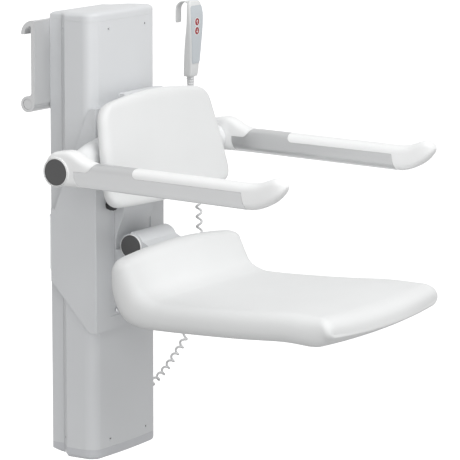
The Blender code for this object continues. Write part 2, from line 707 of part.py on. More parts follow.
def build_glides():
    """Wedge pads that run on the column's flare, two on each side."""
    inner_x = COLUMN_HALF + RUNNING_GAP - FACE_GAP
    lean = FACE_GAP * math.sqrt(2.0)
    rear_y = CARRIAGE_REAR_Y - 0.0120
    front_y = flare_front_y() + 0.0030
    rear_x = COLUMN_HALF - (rear_y - flare_front_y()) + lean
    front_x = COLUMN_HALF - (front_y - flare_front_y()) + lean
    for side, sign in named_sides():
        outline = [(sign * rear_x, rear_y), (sign * front_x, front_y),
                   (sign * inner_x, front_y), (sign * inner_x, rear_y)]
        for level, z in (("upper", CARRIAGE_REAR_TOP - 0.030), ("lower", CARRIAGE_REAR_BOTTOM + 0.030)):
            prism_z("glide_%s_%s" % (level, side), outline, z - GLIDE_HEIGHT / 2.0,
                    z + GLIDE_HEIGHT / 2.0, DARK_CAP)


# Hinge housing, hinge pin and seat arm

def around_pivot(radius, start_deg, end_deg, steps):
    """Arc round the seat pivot in (y, z); 0 degrees points back to the wall, 90 up, 180 forward."""
    return arc((SEAT_PIVOT_Y, SEAT_PIVOT_Z), radius, start_deg, end_deg, steps)


def build_nose():
    """Housing on the carriage front: a scoop above the pivot clears the seat's hood."""
    base_y = CARRIAGE_FRONT_Y + POCKET_DEPTH - FACE_GAP
    proud_y = CARRIAGE_FRONT_Y - FACE_GAP
    scoop_y = SEAT_PIVOT_Y + NOSE_SCOOP_REACH
    ledge_z = SEAT_PIVOT_Z - LEDGE_DROP
    scoop_top = SEAT_PIVOT_Z + NOSE_SCOOP_TOP
    scoop = smooth_curve([(NOSE_FACE_Y, scoop_top), (NOSE_FACE_Y + 0.0022, scoop_top - 0.0164),
                          (scoop_y - 0.0040, SEAT_PIVOT_Z + 0.0220), (scoop_y, ledge_z)], 10)
    lug_start = -math.degrees(math.asin(LEDGE_DROP / LUG_RADIUS))
    outline = [(base_y, NOSE_BOTTOM), (base_y, POCKET_TOP - 0.001), (proud_y, POCKET_TOP - 0.001),
               (proud_y, CARRIAGE_TOP), (proud_y - 0.0040, CARRIAGE_TOP), (proud_y - 0.0040, NOSE_TOP),
               (NOSE_FACE_Y, NOSE_TOP)]
    outline += [(point.x, point.y) for point in scoop]
    outline += around_pivot(LUG_RADIUS, lug_start, 235.0, 14)
    outline += [(base_y - 0.0100, NOSE_BOTTOM)]
    nose = prism_x("hinge_housing", outline, -NOSE_HALF, NOSE_HALF, PALE_PAINT)
    bore = cylinder("bore", "X", (0, SEAT_PIVOT_Y, SEAT_PIVOT_Z), PIN_RADIUS + PIN_CLEARANCE,
                    -BIG, BIG, PALE_PAINT, PIN_SIDES)
    cut(nose, bore)
    pin_half = SEAT_ARM_HALF - FACE_GAP
    cylinder("seat_hinge_pin", "X", (0, SEAT_PIVOT_Y, SEAT_PIVOT_Z), PIN_RADIUS,
             -pin_half, pin_half, STEEL, PIN_SIDES)


def seat_bottom_controls():
    """Under side of the seat in (y, z), from the top of the lip to the front edge."""
    under_z = SEAT_TOP_Z - SEAT_THICKNESS
    return [(SEAT_REAR_Y - 0.0215, LIP_TOP_Z - 0.0012), (SEAT_REAR_Y - 0.0140, LIP_TOP_Z - 0.0024),
            (SEAT_REAR_Y - 0.0058, LIP_TOP_Z - 0.0095), (SEAT_REAR_Y - 0.0010, LIP_TOP_Z - 0.0240),
            (SEAT_REAR_Y, LIP_TOP_Z - 0.0450), (SEAT_REAR_Y - 0.0035, SEAT_TOP_Z + 0.0060),
            (SEAT_REAR_Y - 0.0235, under_z + 0.0225), (SEAT_REAR_Y - 0.0600, under_z + 0.0030),
            (SEAT_REAR_Y - 0.1200, under_z), (SEAT_REAR_Y - 0.2900, under_z + 0.0047),
            (SEAT_FRONT_Y + 0.1300, under_z + 0.0111), (SEAT_FRONT_Y + 0.0480, under_z + 0.0053),
            (SEAT_FRONT_Y + 0.0180, under_z + 0.0182), (SEAT_FRONT_Y + 0.0065, under_z + 0.0222),
            (SEAT_FRONT_Y + 0.0015, under_z + 0.0251), (SEAT_FRONT_Y, SEAT_NOSE_Z)]


def seat_top_controls():
    """Upper side of the seat in (y, z), with as many points as the under side."""
    lip_front = SEAT_REAR_Y - LIP_THICKNESS
    front_z = SEAT_TOP_Z + SEAT_FRONT_RISE
    return [(SEAT_REAR_Y - 0.0215, LIP_TOP_Z - 0.0012), (SEAT_REAR_Y - 0.0280, LIP_TOP_Z - 0.0016),
            (SEAT_REAR_Y - 0.0355, LIP_TOP_Z - 0.0046), (SEAT_REAR_Y - 0.0428, LIP_TOP_Z - 0.0105),
            (lip_front + 0.0015, LIP_TOP_Z - 0.0195), (lip_front - 0.0060, LIP_TOP_Z - 0.0380),
            (lip_front - 0.0240, SEAT_TOP_Z + 0.0200), (lip_front - 0.0500, SEAT_TOP_Z + 0.0050),
            (lip_front - 0.0900, SEAT_TOP_Z), (lip_front - 0.2400, SEAT_TOP_Z + 0.0050),
            (SEAT_FRONT_Y + 0.1300, front_z - 0.0010), (SEAT_FRONT_Y + 0.0520, front_z - 0.0044),
            (SEAT_FRONT_Y + 0.0270, front_z - 0.0079), (SEAT_FRONT_Y + 0.0110, front_z - 0.0160),
            (SEAT_FRONT_Y + 0.0024, front_z - 0.0277), (SEAT_FRONT_Y, SEAT_NOSE_Z)]


def rim_share(place, half_width, rim):
    """Share of the full thickness at place, from -1 to 1, across a sheet with rounded rims."""
    inner = 1.0 - rim / half_width
    past = max(0.0, abs(place) - inner) / (1.0 - inner)
    return max(0.0, 1.0 - past ** RIM_POWER) ** (1.0 / RIM_POWER)


def corner_inset(distance, corner):
    """How far a rounded corner draws the side in at this distance from the end."""
    past = max(0.0, corner - distance)
    return corner - math.sqrt(max(0.0, corner ** 2 - past ** 2))


def column_shares(half_width, rim, flat_columns, rim_steps=4):
    """Places across a shell from -1 to 1: even over the flat part, by angle round the rims."""
    inner = 1.0 - rim / half_width
    turn = [math.sin(math.pi / 2.0 * step / rim_steps) for step in range(1, rim_steps + 1)]
    right = [inner + (1.0 - inner) * value for value in turn]
    flat = [inner * (2.0 * column / flat_columns - 1.0) for column in range(flat_columns + 1)]
    return [-value for value in reversed(right)] + flat + right


def shell_from_sides(name, stations, shares, place, material):
    """Closed shell from an upper and an under surface that meet all round their rim.

    place(row, column share, side) gives a point; side is 1 above, -1 below.
    """
    columns = len(shares) - 1
    points = []
    index_of = {}
    for row in range(stations):
        for column, share in enumerate(shares):
            on_rim = row in (0, stations - 1) or column in (0, columns)
            for side in (1, -1):
                if on_rim and side < 0:
                    index_of[row, column, side] = index_of[row, column, 1]
                    continue
                index_of[row, column, side] = len(points)
                points.append(place(row, share, 0 if on_rim else side))
    faces = []
    for row in range(stations - 1):
        for column in range(columns):
            ring = [(row, column), (row, column + 1), (row + 1, column + 1), (row + 1, column)]
            faces.append(tuple(index_of[r, c, 1] for r, c in ring))
            faces.append(tuple(index_of[r, c, -1] for r, c in reversed(ring)))
    return make_object(name, points, faces, material)


def build_seat_shell():
    """Moulded seat with a raised rear lip, rounded all round its rim."""
    rows = 31
    top = smooth_curve(seat_top_controls(), rows)
    under = smooth_curve(seat_bottom_controls(), rows)
    middle = [(a + b) / 2.0 for a, b in zip(top, under)]
    run = [0.0]
    for before, after in zip(middle, middle[1:]):
        run.append(run[-1] + (after - before).length)
    total = run[-1]

    def place(row, share, side):
        width = SEAT_HALF - corner_inset(run[row], LIP_CORNER)
        width -= corner_inset(total - run[row], SEAT_FRONT_CORNER)
        surface = {1: top, -1: under, 0: middle}[side][row]
        point = middle[row] + (surface - middle[row]) * rim_share(share, SEAT_HALF, SEAT_RIM)
        lip = max(0.0, 1.0 - run[row] / 0.09)
        front = max(0.0, 1.0 - (total - run[row]) / 0.20)
        y = point.x + SEAT_FRONT_BOW * (share ** 2) * front ** 2
        z = point.y - LIP_ARCH * (share ** 2) * lip + SEAT_FRONT_LIFT * (share ** 2) * front ** 2
        return (share * width, y, z)

    shares = column_shares(SEAT_HALF, SEAT_RIM, 10)
    return shell_from_sides("seat_shell", rows, shares, place, WHITE_SHELL)


def build_seat_arm():
    """Wide cast arm: a hood over the pivot, cheeks outside the housing, a tongue under the seat."""
    gap = 0.0008
    under_z = SEAT_TOP_Z - SEAT_THICKNESS
    rear = SEAT_REAR_Y + gap
    reach_y = -SEAT_ARM_REACH
    low = under_z - gap - 0.0015
    outline = around_pivot(SEAT_KNUCKLE_RADIUS, -110.0, 88.0, 12)
    outline += around_pivot(SEAT_HOOD_RADIUS, 90.0, 155.0, 7)
    outline += [(rear + 0.0035, SEAT_PIVOT_Z + 0.004), (rear, SEAT_PIVOT_Z - 0.016),
                (rear, SEAT_TOP_Z + 0.004), (rear - 0.0155, under_z + 0.0225),
                (rear - 0.0300, under_z + 0.0060), (rear - 0.0600, low), (reach_y, low + 0.0020),
                (reach_y, low - 0.0080), (rear - 0.0600, low - SEAT_ARM_THICKNESS),
                (rear - 0.0200, low - SEAT_ARM_THICKNESS + 0.010), (rear + 0.0160, SEAT_TOP_Z - 0.010)]
    arm = prism_x("seat_arm", outline, -SEAT_ARM_HALF, SEAT_ARM_HALF, PALE_PAINT)
    well_radius = SEAT_HOOD_RADIUS - SEAT_HOOD_WALL
    well = around_pivot(well_radius, 180.0, 78.0, 8)
    well += [(SEAT_PIVOT_Y + 0.0080, SEAT_PIVOT_Z + 0.050), (SEAT_PIVOT_Y + 0.060, SEAT_PIVOT_Z + 0.050),
             (SEAT_PIVOT_Y + 0.060, SEAT_PIVOT_Z - 0.120), (SEAT_PIVOT_Y - 0.0200, SEAT_PIVOT_Z - 0.120),
             (SEAT_PIVOT_Y - well_radius, SEAT_PIVOT_Z - 0.060)]
    well_half = NOSE_HALF + RUNNING_GAP
    cut(arm, prism_x("well", well, -well_half, well_half, PALE_PAINT))
    bore = cylinder("bore", "X", (0, SEAT_PIVOT_Y, SEAT_PIVOT_Z), PIN_RADIUS + PIN_CLEARANCE,
                    -BIG, BIG, PALE_PAINT, PIN_SIDES)
    cut(arm, bore)
    caps = []
    for side, sign in named_sides():
        face = sign * (SEAT_ARM_HALF + FACE_GAP)
        outer = sign * (SEAT_ARM_HALF + SEAT_CAP_THICKNESS)
        caps.append(turned("seat_hinge_cap_%s" % side, "X", (0, SEAT_PIVOT_Y, SEAT_PIVOT_Z),
                           [(face, SEAT_CAP_RADIUS), (outer - sign * 0.0008, SEAT_CAP_RADIUS),
                            (outer, SEAT_CAP_RADIUS - 0.0010)], DARK_CAP, 28))
    return [arm] + caps


# Backrest

def build_backrest():
    """Leaning shell, wider below than above, rounded all round."""
    rows = 15
    axis = Vector((BACKREST_TOP_Y - BACKREST_BOTTOM_Y, BACKREST_TOP_Z - BACKREST_BOTTOM_Z))
    height = axis.length
    along = axis.normalized()
    ahead = Vector((-along.y, along.x))

    def place(row, share, side):
        t = 0.5 - 0.5 * math.cos(math.pi * row / (rows - 1))
        run = t * height
        width = BACKREST_BOTTOM_HALF + (BACKREST_TOP_HALF - BACKREST_BOTTOM_HALF) * t ** 1.45
        width -= corner_inset(run, BACKREST_BOTTOM_CORNER)
        width -= corner_inset(height - run, BACKREST_TOP_CORNER)
        thick = rim_share(share, BACKREST_BOTTOM_HALF, BACKREST_RIM)
        thick *= rim_share(2.0 * t - 1.0, height / 2.0, BACKREST_RIM)
        arch = -BACKREST_TOP_ARCH * share ** 2 * t ** 3 + BACKREST_BOTTOM_ARCH * share ** 2 * (1 - t) ** 3
        point = along * (run + arch) + ahead * (side * thick * BACKREST_THICKNESS / 2.0)
        return (share * width, BACKREST_BOTTOM_Y + point.x, BACKREST_BOTTOM_Z + point.y)

    shares = column_shares(BACKREST_BOTTOM_HALF, BACKREST_RIM, 8)
    return shell_from_sides("backrest_shell", rows, shares, place, WHITE_SHELL)


def build_hanger():
    """Folded sheet that hooks over the housing and carries the backrest."""
    lean = (BACKREST_TOP_Y - BACKREST_BOTTOM_Y) / (BACKREST_TOP_Z - BACKREST_BOTTOM_Z)
    axis_length = math.hypot(1.0, lean)
    rear_shift = (BACKREST_THICKNESS / 2.0 + 0.0008) * axis_length

    def rear_face(z):
        return BACKREST_BOTTOM_Y + (z - BACKREST_BOTTOM_Z) * lean + rear_shift

    hook_y = NOSE_FACE_Y - FACE_GAP
    top_run = BACKREST_TOP_Z - 0.0230
    low_run = BACKREST_BOTTOM_Z + 0.0500
    path = [(hook_y, NOSE_TOP - 0.0350), (hook_y, HANGER_TOP - 0.0020), (hook_y - 0.0020, HANGER_TOP),
            (rear_face(top_run) + 0.0080, HANGER_TOP), (rear_face(top_run), top_run),
            (rear_face(low_run), low_run),
            (NOSE_FACE_Y - FACE_GAP - HANGER_SHEET, low_run - 0.0100)]
    sheet = walled(path, HANGER_SHEET)
    hanger = prism_x("backrest_hanger", sheet, -HANGER_HALF, HANGER_HALF, PALE_PAINT)
    edge = rounded(rectangle(-HANGER_HALF, HANGER_HALF, BACKREST_BOTTOM_Z, HANGER_TOP), HANGER_CORNER, 4)
    keep(hanger, prism_y("edge", edge, -BIG, BIG, PALE_PAINT))


# Arm supports

def arm_section(sign, y, low, high, half_width, corner):
    """Rounded upright section of an arm at this y."""
    outline = rounded(rectangle(-half_width, half_width, low, high), corner, 3)
    return [(sign * ARM_X + x, y, z) for x, z in outline]


def arm_slope(y, rear_z, front_z):
    """Height on a straight line of the arm, which droops from the collar to the tip."""
    share = (HUMP_END_Y - y) / (HUMP_END_Y - TUBE_END_Y)
    return rear_z + (front_z - rear_z) * share


def arm_lines():
    """Upper and lower line of the arm in (y, z), from the hub's centre to the nose of the tip."""
    hump = [(ARM_PIVOT_Y, ARM_PIVOT_Z + HUB_RISE), (COLLAR_HUMP_Y, COLLAR_HUMP_Z),
            (COLLAR_HUMP_Y - 0.0178, COLLAR_HUMP_Z - 0.0039), (COLLAR_HUMP_Y - 0.0425, COLLAR_HUMP_Z - 0.0159),
            (COLLAR_HUMP_Y - 0.0672, COLLAR_HUMP_Z - 0.0227), (HUMP_END_Y, ARM_HIGH_REAR_Z)]
    crest = [(TUBE_END_Y, ARM_HIGH_FRONT_Z), (TUBE_END_Y - 0.0150, ARM_HIGH_FRONT_Z + 0.0008),
             (TUBE_END_Y - 0.0320, ARM_HIGH_FRONT_Z + 0.0036), (TUBE_END_Y - 0.0510, ARM_HIGH_FRONT_Z + 0.0103),
             (TIP_CREST_Y, TIP_CREST_Z), (TIP_CREST_Y - 0.0120, TIP_CREST_Z - 0.0026),
             (TIP_FRONT_Y + 0.0042, TIP_NOSE_Z + 0.0085), (TIP_FRONT_Y, TIP_NOSE_Z)]
    keel = [(TUBE_END_Y, ARM_LOW_FRONT_Z), (TUBE_END_Y - 0.0190, ARM_LOW_FRONT_Z + 0.0010),
            (TUBE_END_Y - 0.0400, ARM_LOW_FRONT_Z + 0.0072), (TUBE_END_Y - 0.0620, ARM_LOW_FRONT_Z + 0.0185),
            (TIP_FRONT_Y + 0.0130, TIP_NOSE_Z - 0.0210), (TIP_FRONT_Y + 0.0035, TIP_NOSE_Z - 0.0085),
            (TIP_FRONT_Y, TIP_NOSE_Z)]
    upper = smooth_curve(hump, 60) + smooth_curve(crest, 80)
    lower = [Vector((ARM_PIVOT_Y, ARM_PIVOT_Z - HUB_DROP)), Vector((HUMP_END_Y, ARM_LOW_REAR_Z))]
    return upper, lower + smooth_curve(keel, 80)


def height_at(line, y):
    """Height of a line that runs forward, at this y."""
    for before, after in zip(line, line[1:]):
        if y >= after.x:
            share = (before.x - y) / max(before.x - after.x, 1e-9)
            return before.y + (after.y - before.y) * min(max(share, 0.0), 1.0)
    return line[-1].y


def arm_blank(name, sign, material):
    """The whole arm as one smooth bar, from the back of the hub to the tip."""
    rings = []
    for share in (0.98, 0.86, 0.60, 0.30):
        reach = math.sqrt(1.0 - share ** 2)
        half = ARM_HALF_WIDTH - 0.0040 * share ** 4
        rings.append(arm_section(sign, ARM_PIVOT_Y + HUB_RADIUS * share, ARM_PIVOT_Z - HUB_DROP * reach,
                                 ARM_PIVOT_Z + HUB_RISE * reach, half, HUB_CORNER))
    upper, lower = arm_lines()
    hump_run = ARM_PIVOT_Y - HUMP_END_Y
    for share in (0.0, 0.11, 0.22, 0.33, 0.44, 0.55, 0.66, 0.77, 0.88, 1.0):
        y = ARM_PIVOT_Y - share * hump_run
        corner = HUB_CORNER + (ARM_CORNER - HUB_CORNER) * min(1.0, 2.0 * share)
        rings.append(arm_section(sign, y, height_at(lower, y), height_at(upper, y), ARM_HALF_WIDTH, corner))
    tip_run = TUBE_END_Y - TIP_FRONT_Y
    for share in (0.0, 0.15, 0.30, 0.45, 0.60, 0.72, 0.82, 0.90, 0.96, 0.995):
        y = TUBE_END_Y - share * tip_run
        low = height_at(lower, y)
        high = height_at(upper, y)
        half = ARM_HALF_WIDTH * math.sqrt(1.0 - 0.97 * share ** 8)
        corner = min(ARM_CORNER, 0.44 * (high - low), 0.9 * half)
        rings.append(arm_section(sign, y, low, high, half, corner))
    return loft(name, rings, material)


def pad_line(y):
    """Height of the joint between pad and tube."""
    return arm_slope(y, PAD_LINE_REAR_Z, PAD_LINE_FRONT_Z)


def pad_heel(radius):
    """Round rear end of the pad, from its back down to the joint line."""
    centre = (PAD_REAR_Y - PAD_HEEL_RADIUS, pad_line(PAD_REAR_Y) + PAD_HEEL_RADIUS)
    return arc(centre, radius, 0.0, -90.0, 4)


def build_arm(side, sign):
    """Hub collar, metal tube, pad with its tip, and the dark cap, all cut from one bar shape."""
    low = ARM_LOW_FRONT_Z - 0.05
    high = ARM_HIGH_REAR_Z + 0.06
    boundary = [(TUBE_START_Y - 0.0150, low), (TUBE_START_Y - 0.0147, ARM_LOW_REAR_Z),
                (TUBE_START_Y - 0.0065, ARM_LOW_REAR_Z + 0.0100), (TUBE_START_Y - 0.0012, ARM_LOW_REAR_Z + 0.0220),
                (TUBE_START_Y, COLLAR_STEP_Z), (COLLAR_STEP_Y, COLLAR_STEP_Z),
                (COLLAR_STEP_Y - 0.0055, COLLAR_STEP_Z + 0.0040), (COLLAR_STEP_Y - 0.0110, COLLAR_STEP_Z + 0.0100),
                (COLLAR_END_Y, ARM_HIGH_REAR_Z + 0.0010)]
    collar_zone = [(0.0, low)] + boundary + [(COLLAR_END_Y - 0.002, high), (0.0, high)]
    back = [(y - FACE_GAP, z - FACE_GAP) for y, z in boundary]
    pad_end = [(TUBE_END_Y + 0.0060, pad_line(TUBE_END_Y)), (TUBE_END_Y + 0.0025, ARM_LOW_FRONT_Z + 0.0180),
               (TUBE_END_Y - 0.0060, ARM_LOW_FRONT_Z - 0.0002), (TUBE_END_Y - 0.0062, low)]
    tube_zone = back + [(COLLAR_END_Y - 0.002 - FACE_GAP, high), (PAD_REAR_Y + FACE_GAP, high)]
    tube_zone += pad_heel(PAD_HEEL_RADIUS + FACE_GAP)
    tube_zone += [(y + FACE_GAP, z - FACE_GAP) for y, z in pad_end]
    pad_zone = [(PAD_REAR_Y, high)] + pad_heel(PAD_HEEL_RADIUS) + pad_end + [(-BIG, low), (-BIG, high)]
    collar = arm_blank("arm_collar_%s" % side, sign, WHITE_SHELL)
    keep(collar, prism_x("zone", collar_zone, -BIG, BIG, WHITE_SHELL))
    tube = arm_blank("arm_tube_%s" % side, sign, ALUMINIUM)
    keep(tube, prism_x("zone", tube_zone, -BIG, BIG, ALUMINIUM))
    pad = arm_blank("arm_pad_%s" % side, sign, WHITE_SHELL)
    keep(pad, prism_x("zone", pad_zone, -BIG, BIG, WHITE_SHELL))
    pivot = (0, ARM_PIVOT_Y, ARM_PIVOT_Z)
    inner = sign * (ARM_X - ARM_HALF_WIDTH)
    bore_end = inner + sign * 0.0240
    cut(collar, cylinder("bore", "X", pivot, ARM_PIN_RADIUS + PIN_CLEARANCE, inner - sign * 0.010,
                         bore_end, WHITE_SHELL, PIN_SIDES))
    face = sign * (ARM_X + ARM_HALF_WIDTH + FACE_GAP)
    outer = face + sign * HUB_CAP_THICKNESS
    cap = turned("hub_cap_%s" % side, "X", pivot,
                 [(face, HUB_CAP_RADIUS), (outer - sign * 0.0008, HUB_CAP_RADIUS),
                  (outer, HUB_CAP_RADIUS - 0.0012)], DARK_CAP, 32)
    return [collar, tube, pad, cap]


def build_carrier(side, sign):
    """Trumpet-shaped carrier from the housing out to the arm hub, with the hub's pivot pin."""
    hub_face = ARM_X - ARM_HALF_WIDTH - RUNNING_GAP
    back_y = CARRIAGE_FRONT_Y - FACE_GAP
    root = HANGER_HALF + 0.0010
    hub_back = ARM_PIVOT_Y + CARRIER_HUB_HALF
    hub_front = ARM_PIVOT_Y - CARRIER_HUB_HALF
    sections = [(0.000, back_y, CARRIER_FRONT_Y, CARRIER_HALF_HEIGHT),
                (0.160, back_y, CARRIER_FRONT_Y, CARRIER_HALF_HEIGHT - 0.0005),
                (0.308, back_y, CARRIER_FRONT_Y, CARRIER_HALF_HEIGHT - 0.0030),
                (0.436, back_y, CARRIER_FRONT_Y - 0.0010, CARRIER_HALF_HEIGHT - 0.0075),
                (0.603, back_y - 0.0010, CARRIER_FRONT_Y - 0.0030, CARRIER_HALF_HEIGHT - 0.0140),
                (0.776, hub_back + 0.002, hub_front + 0.003, CARRIER_HUB_HALF + 0.0030),
                (0.899, hub_back, hub_front, CARRIER_HUB_HALF),
                (1.000, hub_back, hub_front, CARRIER_HUB_HALF)]
    rings = []
    for share, back, front, half_height in sections:
        x = root + (hub_face - root) * share
        half_depth = (back - front) / 2.0
        centre_y = (back + front) / 2.0
        power = 0.80 + 0.20 * min(1.0, share / 0.80)
        ring = []
        for step in range(20):
            angle = 2.0 * math.pi * step / 20
            c = math.cos(angle)
            s = math.sin(angle)
            ring.append((sign * x, centre_y + half_depth * math.copysign(abs(c) ** power, c),
                         ARM_PIVOT_Z + half_height * math.copysign(abs(s) ** power, s)))
        rings.append(ring)
    loft("arm_carrier_%s" % side, rings, PALE_PAINT)
    pin_start = hub_face + FACE_GAP
    pin_end = ARM_X - ARM_HALF_WIDTH + 0.0230
    turned("arm_pivot_pin_%s" % side, "X", (0, ARM_PIVOT_Y, ARM_PIVOT_Z),
           [(sign * pin_start, ARM_PIN_RADIUS), (sign * pin_end, ARM_PIN_RADIUS)], STEEL, PIN_SIDES)


# Hand control

def handset_section(z):
    """Half width, front y and rear y of the hand control at this height."""
    for low, high in zip(HANDSET_SECTIONS, HANDSET_SECTIONS[1:]):
        if z <= high[0]:
            share = (z - low[0]) / (high[0] - low[0])
            return [a + (b - a) * share for a, b in zip(low[1:], high[1:])]
    return list(HANDSET_SECTIONS[-1][1:])


def handset_rings(shrink):
    """Sections of the hand control from its foot to its crown, all sides moved in by shrink."""
    rings = []
    for z, half, front, rear in HANDSET_SECTIONS:
        if z == HANDSET_BOTTOM_Z:
            z += shrink
        if z == HANDSET_TOP_Z:
            z -= shrink
        box = rectangle(-half + shrink, half - shrink, front + shrink, rear - shrink)
        outline = rounded(box, min(HANDSET_CORNER, 0.42 * (rear - front - 2 * shrink)), 3)
        rings.append([(HANDSET_X + x, y, z) for x, y in outline])
    return rings


def handset_split_y(z):
    """The joint line between the two half shells runs up the middle of the body."""
    half, front, rear = handset_section(z)
    return (front + rear) / 2.0


def half_zone(front, gap):
    """Side view zone in front of or behind the joint line."""
    shift = -gap if front else 0.0
    line = [(handset_split_y(section[0]) + shift, section[0]) for section in HANDSET_SECTIONS]
    line = [(line[0][0], line[0][1] - 0.02)] + line + [(line[-1][0], line[-1][1] + 0.04)]
    far = -0.2 if front else 0.2
    return line + [(far, line[-1][1]), (far, line[0][1])]


def hollow_half(name, front, material):
    """One half shell of the hand control."""
    body = loft(name, handset_rings(0.0), material)
    cut(body, loft("inside", handset_rings(HANDSET_WALL), material))
    keep(body, prism_x("zone", half_zone(front, FACE_GAP), HANDSET_X - 0.1, HANDSET_X + 0.1, material))
    return body


def front_face_y(z):
    """Front of the hand control at this height, on its centre line."""
    return handset_section(z)[1]


def build_handset():
    """Two half shells, a hanging hook, a keypad label with two buttons and a board inside."""
    front = hollow_half("handset_front", True, WHITE_SHELL)
    rear = hollow_half("handset_rear", False, WHITE_SHELL)
    hook_z = HANDSET_TOP_Z - HANDSET_HOOK_RADIUS - HANDSET_HOOK_SHEET - 0.003
    root_y = handset_section(hook_z)[2] - HANDSET_WALL / 2.0
    centre_y = root_y + HANDSET_HOOK_RADIUS
    path = [(root_y, hook_z - 0.006)]
    path += arc((centre_y, hook_z), HANDSET_HOOK_RADIUS, 180.0, 0.0, 8)
    path += [(centre_y + HANDSET_HOOK_RADIUS, HANDSET_HOOK_END_Z)]
    hook = prism_x("hook", walled(path, HANDSET_HOOK_SHEET), HANDSET_X - HANDSET_HOOK_HALF,
                   HANDSET_X + HANDSET_HOOK_HALF, WHITE_SHELL)
    join(rear, hook)
    between = [z for z, *sizes in HANDSET_SECTIONS if LABEL_BOTTOM_Z + 0.004 < z < LABEL_TOP_Z - 0.004]
    levels = [LABEL_BOTTOM_Z] + between + [LABEL_TOP_Z]
    outline_rings = []
    for z in levels:
        half = handset_section(z)[0] - LABEL_MARGIN
        face = front_face_y(z) - FACE_GAP
        outline_rings.append([(HANDSET_X - half, face, z), (HANDSET_X + half, face, z),
                              (HANDSET_X + half, face - LABEL_THICKNESS, z),
                              (HANDSET_X - half, face - LABEL_THICKNESS, z)])
    label = loft("keypad_label", outline_rings, LABEL_BLUE)
    buttons = []
    for name, z in (("button_up", BUTTON_UP_Z), ("button_down", BUTTON_UP_Z - BUTTON_SPACING)):
        centre = (HANDSET_X, 0, z)
        for target in (front, label):
            cut(target, cylinder("hole", "Y", centre, BUTTON_RADIUS + BUTTON_GAP, -0.1,
                                 handset_split_y(z), WHITE_SHELL, 20))
        crown = front_face_y(z) - LABEL_THICKNESS - BUTTON_PROUD
        foot = front_face_y(z) + HANDSET_WALL
        buttons.append(turned(name, "Y", centre, [(foot, BUTTON_RADIUS), (crown + 0.0004, BUTTON_RADIUS),
                                                  (crown, BUTTON_RADIUS - 0.0008)], BUTTON_RED, 20))
    lower_z = BUTTON_UP_Z - BUTTON_SPACING
    board_y = front_face_y(lower_z) + HANDSET_WALL + BUTTON_TRAVEL + 0.0007
    board = rectangle(HANDSET_X - BOARD_HALF, HANDSET_X + BOARD_HALF, board_y, board_y + BOARD_THICKNESS)
    prism_z("handset_board", board, lower_z - 0.0110, BUTTON_UP_Z + 0.0100, BOARD_GREEN)
    return front, rear, buttons


# Curly cord and its ends

def relief_profile(start, end):
    """Ribbed taper from the wide end at start to the cord's own size at end."""
    profile = []
    steps = 10
    for step in range(steps + 1):
        t = step / steps
        radius = RELIEF_RADIUS * (1.0 - RELIEF_TAPER * t)
        rib = RIB_DEPTH if step % 2 else 0.0
        profile.append((start + (end - start) * t, radius - rib))
    return profile


def cord_route():
    """Hand-chosen points of the cord's axis, from the hand control down to the column foot."""
    start_z = HANDSET_BOTTOM_Z - FACE_GAP - RELIEF_LENGTH - FACE_GAP
    end_x = COLUMN_REAR_HALF + FACE_GAP + RELIEF_LENGTH + FACE_GAP
    return [(HANDSET_X, CORD_START_Y, start_z), (HANDSET_X, CORD_START_Y, start_z - 0.012),
            (0.4690, -0.0040, -0.1900), (0.4750, -0.0090, -0.3000), (0.4810, -0.0125, -0.4000),
            (0.4800, -0.0140, -0.5000), (0.4630, -0.0145, -0.6000), (0.4178, -0.0148, -0.6860),
            (0.3750, -0.0155, -0.7190), (0.3330, -0.0163, -0.7450), (0.2900, -0.0175, -0.7620),
            (0.2350, -0.0200, -0.7735), (0.1750, -0.0230, -0.7775), (end_x + 0.012, SOCKET_Y, SOCKET_Z),
            (end_x, SOCKET_Y, SOCKET_Z)]


def even_points(points, count):
    """Resample a dense polyline at equal distances."""
    run = [0.0]
    for before, after in zip(points, points[1:]):
        run.append(run[-1] + (after - before).length)
    even = []
    place = 0
    for step in range(count):
        target = run[-1] * step / (count - 1)
        while place < len(run) - 2 and run[place + 1] < target:
            place += 1
        share = (target - run[place]) / (run[place + 1] - run[place])
        even.append(points[place].lerp(points[place + 1], share))
    return even, run[-1]


def least_self_gap(path, diameter, skip):
    """Least clear distance between stretches of the cord that lie more than skip points apart."""
    least = BIG
    for index, point in enumerate(path):
        for other in path[index + skip:index + 6 * skip]:
            least = min(least, (point - other).length - diameter)
    return least


